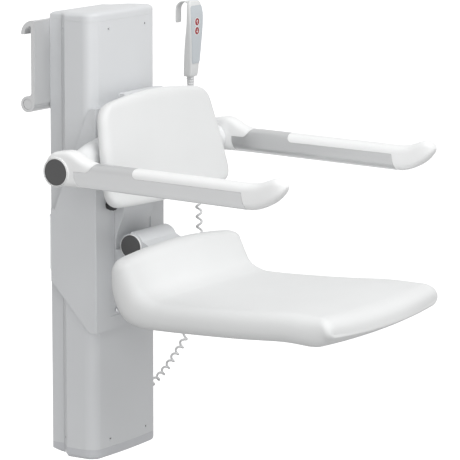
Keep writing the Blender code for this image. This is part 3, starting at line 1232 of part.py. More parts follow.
def build_cord():
    """Strain relief, curly cord and socket relief: one unbroken tube wound round its route."""
    turned("handset_relief", "Z", (HANDSET_X, CORD_START_Y, 0),
           relief_profile(HANDSET_BOTTOM_Z - FACE_GAP, HANDSET_BOTTOM_Z - FACE_GAP - RELIEF_LENGTH),
           CORD_GREY, 12)
    relief_start = COLUMN_REAR_HALF + FACE_GAP
    turned("cord_socket", "X", (0, SOCKET_Y, SOCKET_Z),
           relief_profile(relief_start, relief_start + RELIEF_LENGTH), CORD_GREY, 12)
    dense, length = even_points(smooth_curve(cord_route(), 600), 1201)
    total = CORD_CURLS * POINTS_PER_CURL
    radius = (CURL_OUTER_DIAMETER - CORD_DIAMETER) / 2.0
    straight = 2.2 * CORD_DIAMETER / length
    first_normal = Vector((0.0, -1.0, 0.0))
    path = [dense[0], dense[int(1200 * straight / 2.2)]]
    normal = first_normal
    for step in range(total + 1):
        t = straight + (1.0 - 2.0 * straight) * step / total
        index = min(int(t * 1200), 1199)
        centre = dense[index].lerp(dense[index + 1], t * 1200 - index)
        tangent = (dense[min(index + 4, 1200)] - dense[max(index - 4, 0)]).normalized()
        normal = (normal - tangent * normal.dot(tangent)).normalized()
        side = tangent.cross(normal)
        ramp = min(1.0, step / POINTS_PER_CURL, (total - step) / POINTS_PER_CURL)
        angle = 2.0 * math.pi * step / POINTS_PER_CURL
        path.append(centre + (normal * math.cos(angle) + side * math.sin(angle)) * radius * ramp)
    path += [dense[1200 - int(1200 * straight / 2.2)], dense[1200]]
    curve = bpy.data.curves.new("curly_cord", "CURVE")
    curve.dimensions = "3D"
    curve.bevel_depth = CORD_DIAMETER / 2.0
    curve.bevel_resolution = 1
    curve.use_fill_caps = True
    spline = curve.splines.new("POLY")
    spline.points.add(len(path) - 1)
    for target, point in zip(spline.points, path):
        target.co = (*point, 1.0)
    cord = bpy.data.objects.new("curly_cord", curve)
    cord.data.materials.append(CORD_GREY)
    bpy.context.collection.objects.link(cord)
    wire = sum((b - a).length for a, b in zip(path, path[1:]))
    gap = least_self_gap(path, CORD_DIAMETER, POINTS_PER_CURL // 2)
    print("curly cord: axis %.3f m, cord %.3f m, least self gap %.2f mm" % (length, wire, gap * 1000))


# Whole object

def build():
    build_wall_plate()
    cover = build_column()
    build_caps()
    build_cover_screws(cover)
    build_drive()
    build_carriage()
    build_yoke()
    build_glides()
    build_nose()
    seat_pieces = build_seat_arm() + [build_seat_shell()]
    build_backrest()
    build_hanger()
    seat_axis = joint_empty("seat_axis", (0.0, SEAT_PIVOT_Y, SEAT_PIVOT_Z))
    parent_to(seat_axis, *seat_pieces)
    for side, sign in named_sides():
        build_carrier(side, sign)
        arm_axis = joint_empty("arm_axis_%s" % side, (sign * ARM_X, ARM_PIVOT_Y, ARM_PIVOT_Z))
        parent_to(arm_axis, *build_arm(side, sign))
    build_handset()
    build_cord()


build()
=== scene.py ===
# %% [markdown]
# # An electric shower seat
#
# A metal column hangs on a wall track. A carriage rides up and down on it and carries a fold-up seat,
# a backrest and two fold-up arm supports. A hand control with two keys hangs beside it on a curly cord.
#
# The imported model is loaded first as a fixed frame, in metres: +Z is up, -Y points into the room and
# the origin lies on the back of the wall plate. The pieces made here take the place of the plain
# solids and keep to their sizes.

# %% Load the frame
import json
import math

import bpy
from mathutils import Matrix, Vector


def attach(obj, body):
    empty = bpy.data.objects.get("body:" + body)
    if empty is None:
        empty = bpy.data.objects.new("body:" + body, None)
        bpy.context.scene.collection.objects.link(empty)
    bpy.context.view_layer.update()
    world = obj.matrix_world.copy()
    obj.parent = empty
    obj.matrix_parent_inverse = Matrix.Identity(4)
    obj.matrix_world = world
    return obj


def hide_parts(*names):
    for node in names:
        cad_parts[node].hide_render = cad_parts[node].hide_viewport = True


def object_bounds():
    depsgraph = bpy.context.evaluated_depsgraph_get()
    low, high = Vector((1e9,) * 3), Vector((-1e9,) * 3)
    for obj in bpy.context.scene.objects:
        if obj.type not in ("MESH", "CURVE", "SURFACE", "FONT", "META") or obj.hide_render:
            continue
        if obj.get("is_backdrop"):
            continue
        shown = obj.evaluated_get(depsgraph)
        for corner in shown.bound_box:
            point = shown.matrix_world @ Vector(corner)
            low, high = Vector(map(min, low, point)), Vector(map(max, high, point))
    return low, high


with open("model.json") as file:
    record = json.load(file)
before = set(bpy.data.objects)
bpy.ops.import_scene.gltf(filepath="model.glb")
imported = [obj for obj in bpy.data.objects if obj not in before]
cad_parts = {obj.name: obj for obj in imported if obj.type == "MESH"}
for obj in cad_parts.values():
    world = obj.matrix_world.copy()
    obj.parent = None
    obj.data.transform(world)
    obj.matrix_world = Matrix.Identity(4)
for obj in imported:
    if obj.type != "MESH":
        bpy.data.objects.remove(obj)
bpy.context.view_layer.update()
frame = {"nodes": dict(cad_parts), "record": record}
nodes = frame["nodes"]

# %% [markdown]
# ## The camera
#
# The parallel edges of the column run almost straight up the picture, so the real camera stood far
# away with a long lens. It looks down by ten degrees and from the seat's left front. The position was
# solved from the edges of the column, the seat and the arms, and so the lens needs no shift.

# %% Camera
YAW, PITCH, ROLL = (math.radians(angle) for angle in (32.305, -10.0947, 0.1323))
forward = Vector((math.cos(YAW) * math.cos(PITCH), math.sin(YAW) * math.cos(PITCH), math.sin(PITCH)))
level_right = Vector((math.sin(YAW), -math.cos(YAW), 0.0))
level_up = level_right.cross(forward)
right = level_right * math.cos(ROLL) + level_up * math.sin(ROLL)
up = right.cross(forward)
lens = bpy.data.cameras.new("camera")
lens.lens = 239.393
lens.sensor_width = 36.0
lens.clip_end = 200.0
camera = bpy.data.objects.new("camera", lens)
turned_to = Matrix((right, up, -forward)).transposed().to_4x4()
turned_to.translation = Vector((-5.3465, -3.782, 0.791))
camera.matrix_world = turned_to
bpy.context.collection.objects.link(camera)
bpy.context.scene.camera = camera
print("camera looks down by %.1f degrees through a %.0f mm lens" % (-math.degrees(PITCH), lens.lens))

# %% [markdown]
# ## Finishes
#
# The seat is made for a wet room, so nothing on it is polished or rough. The column has a powder
# coat, which flows into a fine orange peel. The shells are foamed plastic with a satin skin. The arm
# bars and the wall plate are extruded aluminium, whose drawing lines run along the bar. One recipe
# serves all of them: a slow drift in colour and gloss, and a fine relief that only the highlights show.
# A number that is the same all over is set on the shader itself.

# %% Finish recipe
def node(tree, kind, inputs, **settings):
    """Add a shader node whose inputs are numbers, colours or the outputs of other nodes."""
    made = tree.nodes.new("ShaderNode" + kind)
    for setting, value in settings.items():
        setattr(made, setting, value)
    for socket, value in inputs.items():
        if isinstance(value, bpy.types.NodeSocket):
            tree.links.new(value, made.inputs[socket])
        else:
            made.inputs[socket].default_value = value
    return made


RELIEF_DEPTH = 0.00008


def finish(name, colour, roughness, drift, grain, relief, stretch=(1.0, 1.0, 1.0), metallic=0.0, specular=0.5):
    """A finish with a faint drift in colour and gloss and a fine relief."""
    made = bpy.data.materials.new(name)
    made.use_nodes = True
    tree = made.node_tree
    shader = tree.nodes["Principled BSDF"]
    shader.inputs["Metallic"].default_value = metallic
    shader.inputs["Specular IOR Level"].default_value = specular
    place = node(tree, "TexCoord", {}).outputs["Object"]
    stretched = node(tree, "Mapping", {"Vector": place, "Scale": stretch}).outputs["Vector"]
    slow = node(tree, "TexNoise", {"Vector": place, "Scale": 7.0, "Detail": 3.0}).outputs["Fac"]
    fine = node(tree, "TexNoise", {"Vector": stretched, "Scale": grain, "Detail": 2.0}).outputs["Fac"]
    tint = node(tree, "ValToRGB", {"Fac": slow})
    for element, position, share in zip(tint.color_ramp.elements, (0.30, 0.70), (1.0 - drift, 1.0 + drift)):
        element.position = position
        element.color = (*(min(1.0, channel * share) for channel in colour), 1.0)
    gloss = node(tree, "MapRange", {"Value": fine, "To Min": roughness - 0.05, "To Max": roughness + 0.05})
    bump = node(tree, "Bump", {"Height": fine, "Strength": relief, "Distance": RELIEF_DEPTH})
    tree.links.new(tint.outputs["Color"], shader.inputs["Base Color"])
    tree.links.new(gloss.outputs["Result"], shader.inputs["Roughness"])
    tree.links.new(bump.outputs["Normal"], shader.inputs["Normal"])
    return made


# %% The finishes of this seat
ALONG_ARM = (1.0, 0.03, 1.0)
ALONG_WALL = (0.03, 1.0, 1.0)
FINISHES = {
    "white_shell": finish("satin white shell", (0.825, 0.833, 0.833), 0.55, 0.010, 520.0, 0.12, specular=0.20),
    "pale_paint": finish("pale powder coat", (0.715, 0.728, 0.742), 0.38, 0.012, 900.0, 0.20),
    "grey_paint": finish("grey powder coat", (0.62, 0.63, 0.655), 0.40, 0.015, 900.0, 0.20),
    "aluminium": finish("anodised aluminium", (0.64, 0.645, 0.65), 0.42, 0.02, 1400.0, 0.15,
                        stretch=ALONG_WALL, metallic=0.25),
    "steel": finish("zinc plated steel", (0.60, 0.61, 0.62), 0.35, 0.05, 600.0, 0.10, metallic=0.9),
    "dark_cap": finish("dark matt cap", (0.078, 0.078, 0.079), 0.50, 0.04, 1100.0, 0.25),
    "cord_grey": finish("grey cord sheath", (0.76, 0.765, 0.77), 0.45, 0.02, 1200.0, 0.20),
    "label_blue": finish("printed keypad film", (0.60, 0.64, 0.67), 0.40, 0.01, 2500.0, 0.10),
    "button_red": finish("red key", (0.36, 0.012, 0.020), 0.50, 0.03, 1500.0, 0.10, specular=0.25),
    "board_green": finish("solder mask", (0.03, 0.20, 0.08), 0.40, 0.10, 800.0, 0.10),
}
ARM_METAL = finish("drawn arm metal", (0.58, 0.585, 0.59), 0.34, 0.010, 1400.0, 0.15,
                   stretch=ALONG_ARM, metallic=0.55)
# A brighter copy of the white shell for the arm collars, pads and cap rims: painted light standing in for the stronger
# light on them.
PAINTED_LIGHT_WHITE = finish("white plastic brightened as painted light", (0.93, 0.935, 0.935), 0.50, 0.010, 520.0, 0.12, specular=0.30)
ARROW_WHITE = finish("white print", (0.86, 0.86, 0.86), 0.50, 0.01, 1500.0, 0.05)
RUBBER = finish("black rubber", (0.030, 0.030, 0.031), 0.60, 0.05, 900.0, 0.30)
for name, solid in nodes.items():
    slot = next(part["material_slot"] for part in frame["record"]["subparts"] if part["node"] == name)
    for place in solid.material_slots:
        place.link = "OBJECT"
        place.material = FINISHES["pale_paint" if name == "column_rear" else slot]
print(len(FINISHES) + 4, "finishes on", len(nodes), "nodes")

# %% [markdown]
# ## Tools for making shapes
#
# Nearly every piece of this seat is an extrusion, a turned disc or a shell with rounded rims. Each is
# made from numbers as one closed mesh: a ring of points is repeated along the piece and the rings are
# joined. That keeps the edges exact, and a shape can be cut from another with a Boolean.

# %% Meshes from rings
BIG = 1.0


def piece(name, points, faces, crease=30.0, material=None):
    """A mesh object whose normals face out, smooth apart from edges sharper than crease."""
    mesh = bpy.data.meshes.new(name)
    mesh.from_pydata([tuple(point) for point in points], [], faces)
    mesh.validate()
    mesh.calc_loop_triangles()
    volume = 0.0
    for triangle in mesh.loop_triangles:
        a, b, c = (mesh.vertices[index].co for index in triangle.vertices)
        volume += a.dot(b.cross(c))
    if volume < 0.0:
        mesh.flip_normals()
    mesh.shade_smooth()
    mesh.set_sharp_from_angle(angle=math.radians(crease))
    made = bpy.data.objects.new(name, mesh)
    if material:
        mesh.materials.append(material)
    bpy.context.collection.objects.link(made)
    return made


def loft(name, rings, crease=30.0, material=None, hoop=False):
    """Join rings of equal count into a body with flat ends, or all round into a hoop."""
    count = len(rings[0])
    points = [point for ring in rings for point in ring]
    faces = []
    for step in range(len(rings) if hoop else len(rings) - 1):
        low, high = step * count, (step + 1) % len(rings) * count
        for index in range(count):
            after = (index + 1) % count
            faces.append((low + index, low + after, high + after, high + index))
    if not hoop:
        faces += [tuple(reversed(range(count))), tuple(range(len(points) - count, len(points)))]
    return piece(name, points, faces, crease, material)


def spot(axis, a, b, along):
    """A point from its place along an axis and the two other coordinates."""
    return {"X": (along, a, b), "Y": (a, along, b), "Z": (a, b, along)}[axis]


def prism(name, axis, outline, low, high, crease=30.0, material=None):
    """Extrude an outline of the two other axes along X, Y or Z."""
    return loft(name, [[spot(axis, a, b, at) for a, b in outline] for at in (low, high)], crease, material)


def circle(centre, radius, sides):
    """Points all round a circle."""
    angles = [2.0 * math.pi * side / sides for side in range(sides)]
    return [(centre[0] + radius * math.cos(angle), centre[1] + radius * math.sin(angle)) for angle in angles]


def turned(name, axis, centre, profile, sides=64, crease=30.0, material=None, hoop=False):
    """Turn (place, radius) pairs about an axis through centre."""
    rings = [[spot(axis, a, b, along) for a, b in circle(centre, radius, sides)] for along, radius in profile]
    return loft(name, rings, crease, material, hoop)


# %% Outlines and curves
def arc(centre, radius, start, end, steps):
    """Points on an arc between two angles in degrees."""
    angles = [math.radians(start + (end - start) * step / steps) for step in range(steps + 1)]
    return [(centre[0] + radius * math.cos(angle), centre[1] + radius * math.sin(angle)) for angle in angles]


def near(a, b, *steps):
    """Points given as steps away from one place."""
    return [(a + step_a, b + step_b) for step_a, step_b in steps]


def rectangle(low_a, high_a, low_b, high_b):
    return [(low_a, low_b), (high_a, low_b), (high_a, high_b), (low_a, high_b)]


def rounded(outline, radius, steps=8):
    """Round every corner of a closed outline."""
    points = []
    for index, corner in enumerate(outline):
        corner = Vector(corner)
        into = Vector(outline[index - 1]) - corner
        out = Vector(outline[(index + 1) % len(outline)]) - corner
        reach = min(radius / math.tan(into.angle(out) / 2.0), 0.45 * into.length, 0.45 * out.length)
        start, end = corner + into.normalized() * reach, corner + out.normalized() * reach
        for step in range(steps + 1):
            t = step / steps
            points.append(tuple(start * (1 - t) ** 2 + corner * 2 * t * (1 - t) + end * t ** 2))
    return points


def smooth_line(controls, count, before=None, after=None):
    """A curve through the control points; points beyond its ends can be given to steer it."""
    controls = [Vector(point) for point in controls]
    spans = len(controls) - 1
    points = []
    for step in range(count):
        place = spans * step / (count - 1)
        index = min(int(place), spans - 1)
        t = place - index
        p1, p2 = controls[index], controls[index + 1]
        p0 = controls[index - 1] if index > 0 else Vector(before) if before else p1 * 2 - p2
        p3 = controls[index + 2] if index + 2 <= spans else Vector(after) if after else p2 * 2 - p1
        points.append(0.5 * ((p1 * 2) + (p2 - p0) * t + (p0 * 2 - p1 * 5 + p2 * 4 - p3) * t ** 2
                             + (p1 * 3 - p0 - p2 * 3 + p3) * t ** 3))
    return points


def offset_path(path, distance):
    """Shift an open path to its left."""
    shifted = []
    for index, point in enumerate(path):
        here = Vector(point)
        before = here - Vector(path[index - 1]) if index > 0 else None
        after = Vector(path[index + 1]) - here if index + 1 < len(path) else None
        before, after = before or after, after or before
        normal_in = Vector((-before.y, before.x)).normalized()
        normal_out = Vector((-after.y, after.x)).normalized()
        mitre = (normal_in + normal_out).normalized()
        shifted.append(tuple(here + mitre * distance / max(mitre.dot(normal_out), 0.3)))
    return shifted


def walled(path, thickness):
    return list(path) + list(reversed(offset_path(path, thickness)))


def mirrored(half):
    return list(half) + [(-x, y) for x, y in reversed(half) if abs(x) > 1e-9]


# %% Cutting and softening
def carve(target, tool, operation="DIFFERENCE", crease=30.0):
    """Cut, keep or join with a tool, which is used up."""
    modifier = target.modifiers.new("carve", "BOOLEAN")
    modifier.operation = operation
    modifier.object = tool
    bpy.context.view_layer.update()
    result = bpy.data.meshes.new_from_object(target.evaluated_get(bpy.context.evaluated_depsgraph_get()))
    target.modifiers.clear()
    target.data = result
    bpy.data.objects.remove(tool, do_unlink=True)
    result.shade_smooth()
    result.set_sharp_from_angle(angle=math.radians(crease))
    return target


def cut(target, axis, outline, low=-BIG, high=BIG, operation="DIFFERENCE", crease=30.0):
    """Cut away, or keep, what lies in an extruded outline."""
    return carve(target, prism("tool", axis, outline, low, high), operation, crease)


def drill(target, axis, centre, low, high, radius, crease=30.0):
    """Cut a round hole from low to high."""
    return carve(target, turned("tool", axis, centre, [(low, radius), (high, radius)]), crease=crease)


def soften(target, width, angle=35.0):
    """A small bevel on the sharp edges, so that they catch the light as real ones do."""
    bevel = target.modifiers.new("soft edges", "BEVEL")
    bevel.width = width
    bevel.segments = 2
    bevel.limit_method = "ANGLE"
    bevel.angle_limit = math.radians(angle)
    bevel.harden_normals = True
    bevel.use_clamp_overlap = True
    return target


def fit(made, body, slot, *stands_for):
    """Hang a finished piece on its body in place of the plain solid, in its slot's finish if it has none."""
    if not made.data.materials:
        made.data.materials.append(FINISHES[slot])
    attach(made, body)
    if stands_for:
        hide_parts(*stands_for)
    return made


SIDES = (("left", -1.0), ("right", 1.0))
print("shape tools ready")

# %% [markdown]
# ## The curly cord
#
# The cord of a hand control like this is a sheathed cable that was wound on a rod and heat set. It
# hangs as a loose helix: it leaves the ribbed relief under the hand control, sags beside the seat and
# runs back to a socket low on the column. Its line is a listed route with the helix wound round
# it, so that the turns stay evenly spaced along the bend.

# %% Cord route and helix
CORD_DIAMETER = 0.0056
CURL_DIAMETER = 0.0172
CURLS = 38
RELIEF_LENGTH = 0.0290
CONTROL_X, CORD_Y = 0.4630, -0.0011
SOCKET_Y, SOCKET_Z = -0.0240, -0.7770
CORD_START, CORD_END = (CONTROL_X, CORD_Y, -0.1156), (0.1254, SOCKET_Y, SOCKET_Z)
CORD_ROUTE = [CORD_START, (CONTROL_X, CORD_Y, -0.1276), (0.4690, -0.0040, -0.1900), (0.4750, -0.0090, -0.3000),
              (0.4810, -0.0125, -0.4000), (0.4800, -0.0140, -0.5000), (0.4630, -0.0145, -0.6000),
              (0.4178, -0.0148, -0.6860), (0.3750, -0.0155, -0.7190), (0.3330, -0.0163, -0.7450),
              (0.2900, -0.0175, -0.7620), (0.2350, -0.0200, -0.7735), (0.1750, -0.0230, -0.7775),
              (0.1374, SOCKET_Y, SOCKET_Z), CORD_END]


def evenly(points, count):
    """The same polyline in equal steps, and its length."""
    run = [0.0]
    for before, after in zip(points, points[1:]):
        run.append(run[-1] + (after - before).length)
    even, place = [], 0
    for step in range(count):
        target = run[-1] * step / (count - 1)
        while place < len(run) - 2 and run[place + 1] < target:
            place += 1
        even.append(points[place].lerp(points[place + 1], (target - run[place]) / (run[place + 1] - run[place])))
    return even, run[-1]


def helix(route, curls, per_curl):
    """Wind the cord round its route, straight for two diameters at both ends."""
    dense, length = evenly(smooth_line(route, 600), 1201)
    straight = 2.2 * CORD_DIAMETER / length
    radius = (CURL_DIAMETER - CORD_DIAMETER) / 2.0
    normal = Vector((0.0, -1.0, 0.0))
    total = curls * per_curl
    path = [dense[0], dense[int(1200 * straight / 2.2)]]
    for step in range(total + 1):
        t = 1200 * (straight + (1.0 - 2.0 * straight) * step / total)
        index = min(int(t), 1199)
        centre = dense[index].lerp(dense[index + 1], t - index)
        tangent = (dense[min(index + 4, 1200)] - dense[max(index - 4, 0)]).normalized()
        normal = (normal - tangent * normal.dot(tangent)).normalized()
        ramp = min(1.0, step / per_curl, (total - step) / per_curl)
        angle = 2.0 * math.pi * step / per_curl
        turn = normal * math.cos(angle) + tangent.cross(normal) * math.sin(angle)
        path.append(centre + turn * radius * ramp)
    return path + [dense[1200 - int(1200 * straight / 2.2)], dense[1200]]


cord_path = helix(CORD_ROUTE, CURLS, 20)

# %% Cord sheath
curve = bpy.data.curves.new("curly_cord_sheath", "CURVE")
curve.dimensions = "3D"
curve.bevel_depth = CORD_DIAMETER / 2.0
curve.bevel_resolution = 3
curve.use_fill_caps = True
strand = curve.splines.new("POLY")
strand.points.add(len(cord_path) - 1)
for target, point in zip(strand.points, cord_path):
    target.co = (*point, 1.0)
cord = bpy.data.objects.new("curly_cord_sheath", curve)
bpy.context.collection.objects.link(cord)
fit(cord, "wall_side", "cord_grey", "curly_cord")

# %% [markdown]
# ## The strain reliefs
#
# A ribbed rubber sleeve spreads the bend where the cord enters a housing. It is turned like a bar:
# ribs as rings, getting smaller towards the cord.

# %% Ribbed sleeves
RELIEF_RADIUS, RIBS = 0.0094, 5


def sleeve(start, end):
    """Profile of a ribbed sleeve from its wide end to the cord."""
    profile = []
    steps = RIBS * 10
    for step in range(steps + 1):
        t = step / steps
        wave = 0.5 - 0.5 * math.cos(2.0 * math.pi * RIBS * t)
        groove = 0.0011 * min(1.0, max(0.0, 1.6 * wave - 0.3))
        profile.append((start + (end - start) * t, RELIEF_RADIUS * (1.0 - 0.16 * t) - groove))
    profile.insert(0, (start, RELIEF_RADIUS * 0.8))
    return profile


CONTROL_FOOT, REAR_HALF, GAP = -0.0860, 0.0958, 0.0003
top_z, side_x = CONTROL_FOOT - GAP, REAR_HALF + GAP
fit(turned("hand_control_sleeve", "Z", (CONTROL_X, CORD_Y), sleeve(top_z, top_z - RELIEF_LENGTH), 40, 50.0),
    "wall_side", "cord_grey", "handset_relief")
fit(turned("column_sleeve", "X", (SOCKET_Y, SOCKET_Z), sleeve(side_x, side_x + RELIEF_LENGTH), 40, 50.0),
    "wall_side", "cord_grey", "cord_socket")

# %% [markdown]
# ## The column
#
# The cover is a folded sheet: a slightly bowed front, a crisp line down each side of it, a wide round
# corner and a slanted strip back to the rear profile. It is drawn once as a path in plan and given
# the thickness of the sheet. The crisp line matters, because the light changes tone there from top
# to bottom.

# %% Column in plan
COLUMN_HALF, FRONT_HALF = 0.1222, 0.1010
REAR_Y, REAR_DEPTH, SIDE_FRONT_Y = -0.0091, 0.0300, -0.1085
CORNER_RADIUS, FRONT_BOW, WALL = 0.0320, 0.0040, 0.0030
COLUMN_TOP, COLUMN_BOTTOM = 0.0968, -0.8240
BOW_STEPS, CORNER_STEPS = 8, 20
SEAM_Y = REAR_Y - REAR_DEPTH
FLARE_Y = SEAM_Y - (COLUMN_HALF - REAR_HALF)
EDGE_OFFSET = FRONT_HALF - (COLUMN_HALF - CORNER_RADIUS)
EDGE_Y = SIDE_FRONT_Y - math.sqrt(CORNER_RADIUS ** 2 - EDGE_OFFSET ** 2)


def front_path(grow=0.0):
    """Half of the cover in plan, from the front's centre to the end of the round corner."""
    path = []
    for step in range(BOW_STEPS):
        share = step / BOW_STEPS
        path.append((share * FRONT_HALF, EDGE_Y - FRONT_BOW * (1 - share ** 2) - grow))
    start = -math.degrees(math.acos(EDGE_OFFSET / CORNER_RADIUS))
    return path + arc((COLUMN_HALF - CORNER_RADIUS, SIDE_FRONT_Y), CORNER_RADIUS + grow, start, 0.0, CORNER_STEPS)


def plan(inset=0.0):
    """The whole column in plan, drawn in by inset."""
    tilt = inset * math.tan(math.radians(22.5))
    half = front_path(-inset)
    half += [(COLUMN_HALF - inset, FLARE_Y - tilt), (REAR_HALF - inset, SEAM_Y - tilt),
             (REAR_HALF - inset, REAR_Y - inset), (0.0, REAR_Y - inset)]
    return mirrored(half)


half = front_path() + [(COLUMN_HALF, FLARE_Y), (REAR_HALF, SEAM_Y)]
whole = [(-x, y) for x, y in reversed(half[1:])] + half
cover = prism("column_cover_sheet", "Z", walled(whole, WALL), COLUMN_BOTTOM, COLUMN_TOP, 11.0)
print("cover front at y %.4f, %.0f mm wide" % (EDGE_Y - FRONT_BOW, 2000 * COLUMN_HALF))

# %% [markdown]
# Eight small screws hold the cover. Each sits in a shallow recess so that the carriage can pass, and
# the walls of its hexagon socket are coloured dark cap black as painted shade, which shows as a dark dot.

# %% Cover screws
HEAD_RADIUS, RECESS = 0.0048, 0.0018


def cover_screw(name, place, turn):
    """A flush screw whose hexagon socket is coloured dark as painted shade, and the recess for it in the cover."""
    hole = turned("hole", "X", (0, 0), [(-RECESS, HEAD_RADIUS + 0.0001), (0.02, HEAD_RADIUS + 0.0001)], 32)
    dome = near(0.0, HEAD_RADIUS, (-0.0015, 0.0), (-0.0006, 0.0), (-0.0002, -0.0005), (-0.0001, -0.0016))
    head = turned(name + "_head", "X", (0, 0), dome, 32, material=FINISHES["pale_paint"])
    socket = prism("socket", "X", arc((0, 0), 0.0021, 0, 300, 5), -0.0012, 0.01, material=FINISHES["pale_paint"])
    # Both get the dark cap finish as a second slot, and the socket's faces use it, so the cut socket walls carry
    # painted shade.
    for made in (head, socket):
        made.data.materials.append(FINISHES["dark_cap"])
    for face in socket.data.polygons:
        face.material_index = 1
    carve(head, socket)
    for made in (hole, head):
        made.data.transform(Matrix.Translation(place) @ Matrix.Rotation(turn, 4, "Z"))
    carve(cover, hole, crease=11.0)
    fit(head, "wall_side", "steel", name)


screw_x = FRONT_HALF - 0.0325
screw_y = EDGE_Y - FRONT_BOW * (1 - (screw_x / FRONT_HALF) ** 2)
flare_x, flare_y = (COLUMN_HALF + REAR_HALF) / 2.0, (FLARE_Y + SEAM_Y) / 2.0
for side, sign in SIDES:
    outward = 0.25 * math.pi if sign > 0 else 0.75 * math.pi
    for level, z in (("top", COLUMN_TOP - 0.0176), ("foot", COLUMN_BOTTOM + 0.0176)):
        cover_screw("front_screw_%s_%s" % (level, side), Vector((sign * screw_x, screw_y, z)), -0.5 * math.pi)
        cover_screw("side_screw_%s_%s" % (level, side), Vector((sign * flare_x, flare_y, z)), outward)
fit(cover, "wall_side", "pale_paint", "column_cover")
print("8 screws, front ones %.0f mm apart" % (2000 * screw_x))

# %% [markdown]
# The caps are moulded in the column's own outline. The top cap stands straight for a finger's width
# and then rolls over to a nearly flat crown; the bottom cap is a shallow tray with rounded edges.

# %% Caps
TOP_CAP, TOP_RIM, FOOT_CAP = 0.0205, 0.0095, 0.0222


def rolled(rim, height, inset, steps, rise_power=1.0, inset_power=1.0):
    """A straight rim that rolls over to a crown, as (height, inset) pairs."""
    profile = [(0.0001, 0.0002), (0.0004, 0.0), (rim, 0.0)]
    for step in range(1, steps + 1):
        angle = math.radians(90.0 * step / steps)
        profile.append((rim + (height - rim) * math.sin(angle) ** rise_power,
                        inset * (1.0 - math.cos(angle)) ** inset_power))
    return profile


def cap(name, base, direction, profile, lean=0.0):
    """Rings of the plan, each at a height and drawn in by an inset, lower towards the wall by the lean."""
    front = EDGE_Y - FRONT_BOW
    rings = []
    for height, inset in profile:
        rings.append([(x, y, base + direction * (GAP + (height - GAP) * (1.0 - lean * (y - front) / (REAR_Y - front))))
                      for x, y in plan(inset)])
    return loft(name, rings, 24.0)


top_cap = cap("top_cap_moulded", COLUMN_TOP, 1.0, rolled(TOP_RIM, TOP_CAP, 0.0150, 12, 0.9, 1.05), 0.28)
fit(top_cap, "wall_side", "pale_paint", "top_cap")
foot_cap = cap("bottom_cap_moulded", COLUMN_BOTTOM, -1.0, rolled(0.60 * FOOT_CAP, FOOT_CAP, 0.0085, 8))
cut(foot_cap, "X", [(0.0, COLUMN_BOTTOM - 0.0107), (REAR_Y - 0.0300, COLUMN_BOTTOM - FOOT_CAP - 0.0005),
                    (0.0, COLUMN_BOTTOM - 0.1)], crease=24.0)
fit(foot_cap, "wall_side", "grey_paint", "bottom_cap")
print("caps %.1f and %.1f mm high" % (1000 * TOP_CAP, 1000 * FOOT_CAP))

# %% [markdown]
# ## The wall plate
#
# The plate is one aluminium extrusion. Its hook drops over a track on the wall, and a bead along its
# foot, with a steel rod in it, keeps the column off the wall. The end shows the whole profile, so
# the fillets are drawn with many points.

# %% Wall plate
PLATE_HALF, PLATE, PLATE_TOP = 0.1520, 0.0088, 0.0960
BEAD, BEAD_Z, FILLET, ROD = 0.0171, -0.0823, 0.0080, 0.0112
bead_y = BEAD - PLATE + 0.0015
hook_back = 0.0165 + 0.0088
rise = math.sqrt((BEAD + FILLET) ** 2 - (bead_y - FILLET) ** 2)
meet = math.degrees(math.atan2(rise, FILLET - bead_y))
roof = PLATE_TOP - 0.0122
outline = [(-PLATE, BEAD_Z), (-PLATE, PLATE_TOP - 0.0015), (-PLATE + 0.0015, PLATE_TOP)]
outline += arc((hook_back - 0.0300, PLATE_TOP - 0.0300), 0.0300, 90, 3, 40)
outline += arc((hook_back - 0.0020, PLATE_TOP - 0.0285), 0.0020, 0, -90, 6)
outline += arc((0.0165 + 0.0015, PLATE_TOP - 0.0290), 0.0015, 270, 180, 5)
outline += arc((0.0, roof - 0.0165), 0.0165, 4, 82, 26) + [(0.0015, roof), (0.0, roof)]
outline += arc((FILLET, BEAD_Z + rise), FILLET, 180, 180 + meet, 12)
outline += arc((bead_y, BEAD_Z), BEAD, meet, -180, 48)[1:]
plate = prism("wall_plate_extrusion", "X", outline, -PLATE_HALF, PLATE_HALF)
drill(plate, "X", (bead_y, BEAD_Z), -BIG, BIG, ROD + 0.0002)
soften(plate, 0.0005)
fit(plate, "wall_side", "aluminium", "wall_plate")
end = PLATE_HALF - 0.001
rod = turned("bead_rod", "X", (bead_y, BEAD_Z), [(-end, ROD - 0.0008), (-end + 0.0008, ROD), (end - 0.0008, ROD),
                                                 (end, ROD - 0.0008)], material=FINISHES["aluminium"])
fit(rod, "wall_side", "steel", "plate_rod")
print("wall plate %.0f mm long" % (2000 * PLATE_HALF))

# %% [markdown]
# ## The carriage
#
# A thick folded shell wraps the column's front and sides and is cut on the slant behind, so that
# little of it shows when it stands high. It keeps a gap of under a millimetre to the column, and its
# crisp outer edges are only just broken.

# %% Carriage shell
CARRIAGE_HALF, CARRIAGE_FRONT, CARRIAGE_BACK = 0.1300, -0.14902, -0.0323
CARRIAGE_TOP, CARRIAGE_BOTTOM = -0.0839, -0.5650
BACK_TOP, BACK_BOTTOM = -0.3042, -0.4626
POCKET_HALF, POCKET_DEPTH, POCKET_TOP, POCKET_BOTTOM = 0.0775, 0.0020, -0.1050, -0.5369
RUNNING_GAP, BOLT_X, BOLT_Z = 0.0009, 0.0533, -0.5247
outer = rounded([(CARRIAGE_HALF, 0.1), (CARRIAGE_HALF, CARRIAGE_FRONT), (-CARRIAGE_HALF, CARRIAGE_FRONT),
                 (-CARRIAGE_HALF, 0.1)], 0.0025, 5)
outer = [point for point in outer if point[1] < CARRIAGE_BACK - 0.02]
outer = [(CARRIAGE_HALF, CARRIAGE_BACK)] + outer + [(-CARRIAGE_HALF, CARRIAGE_BACK)]
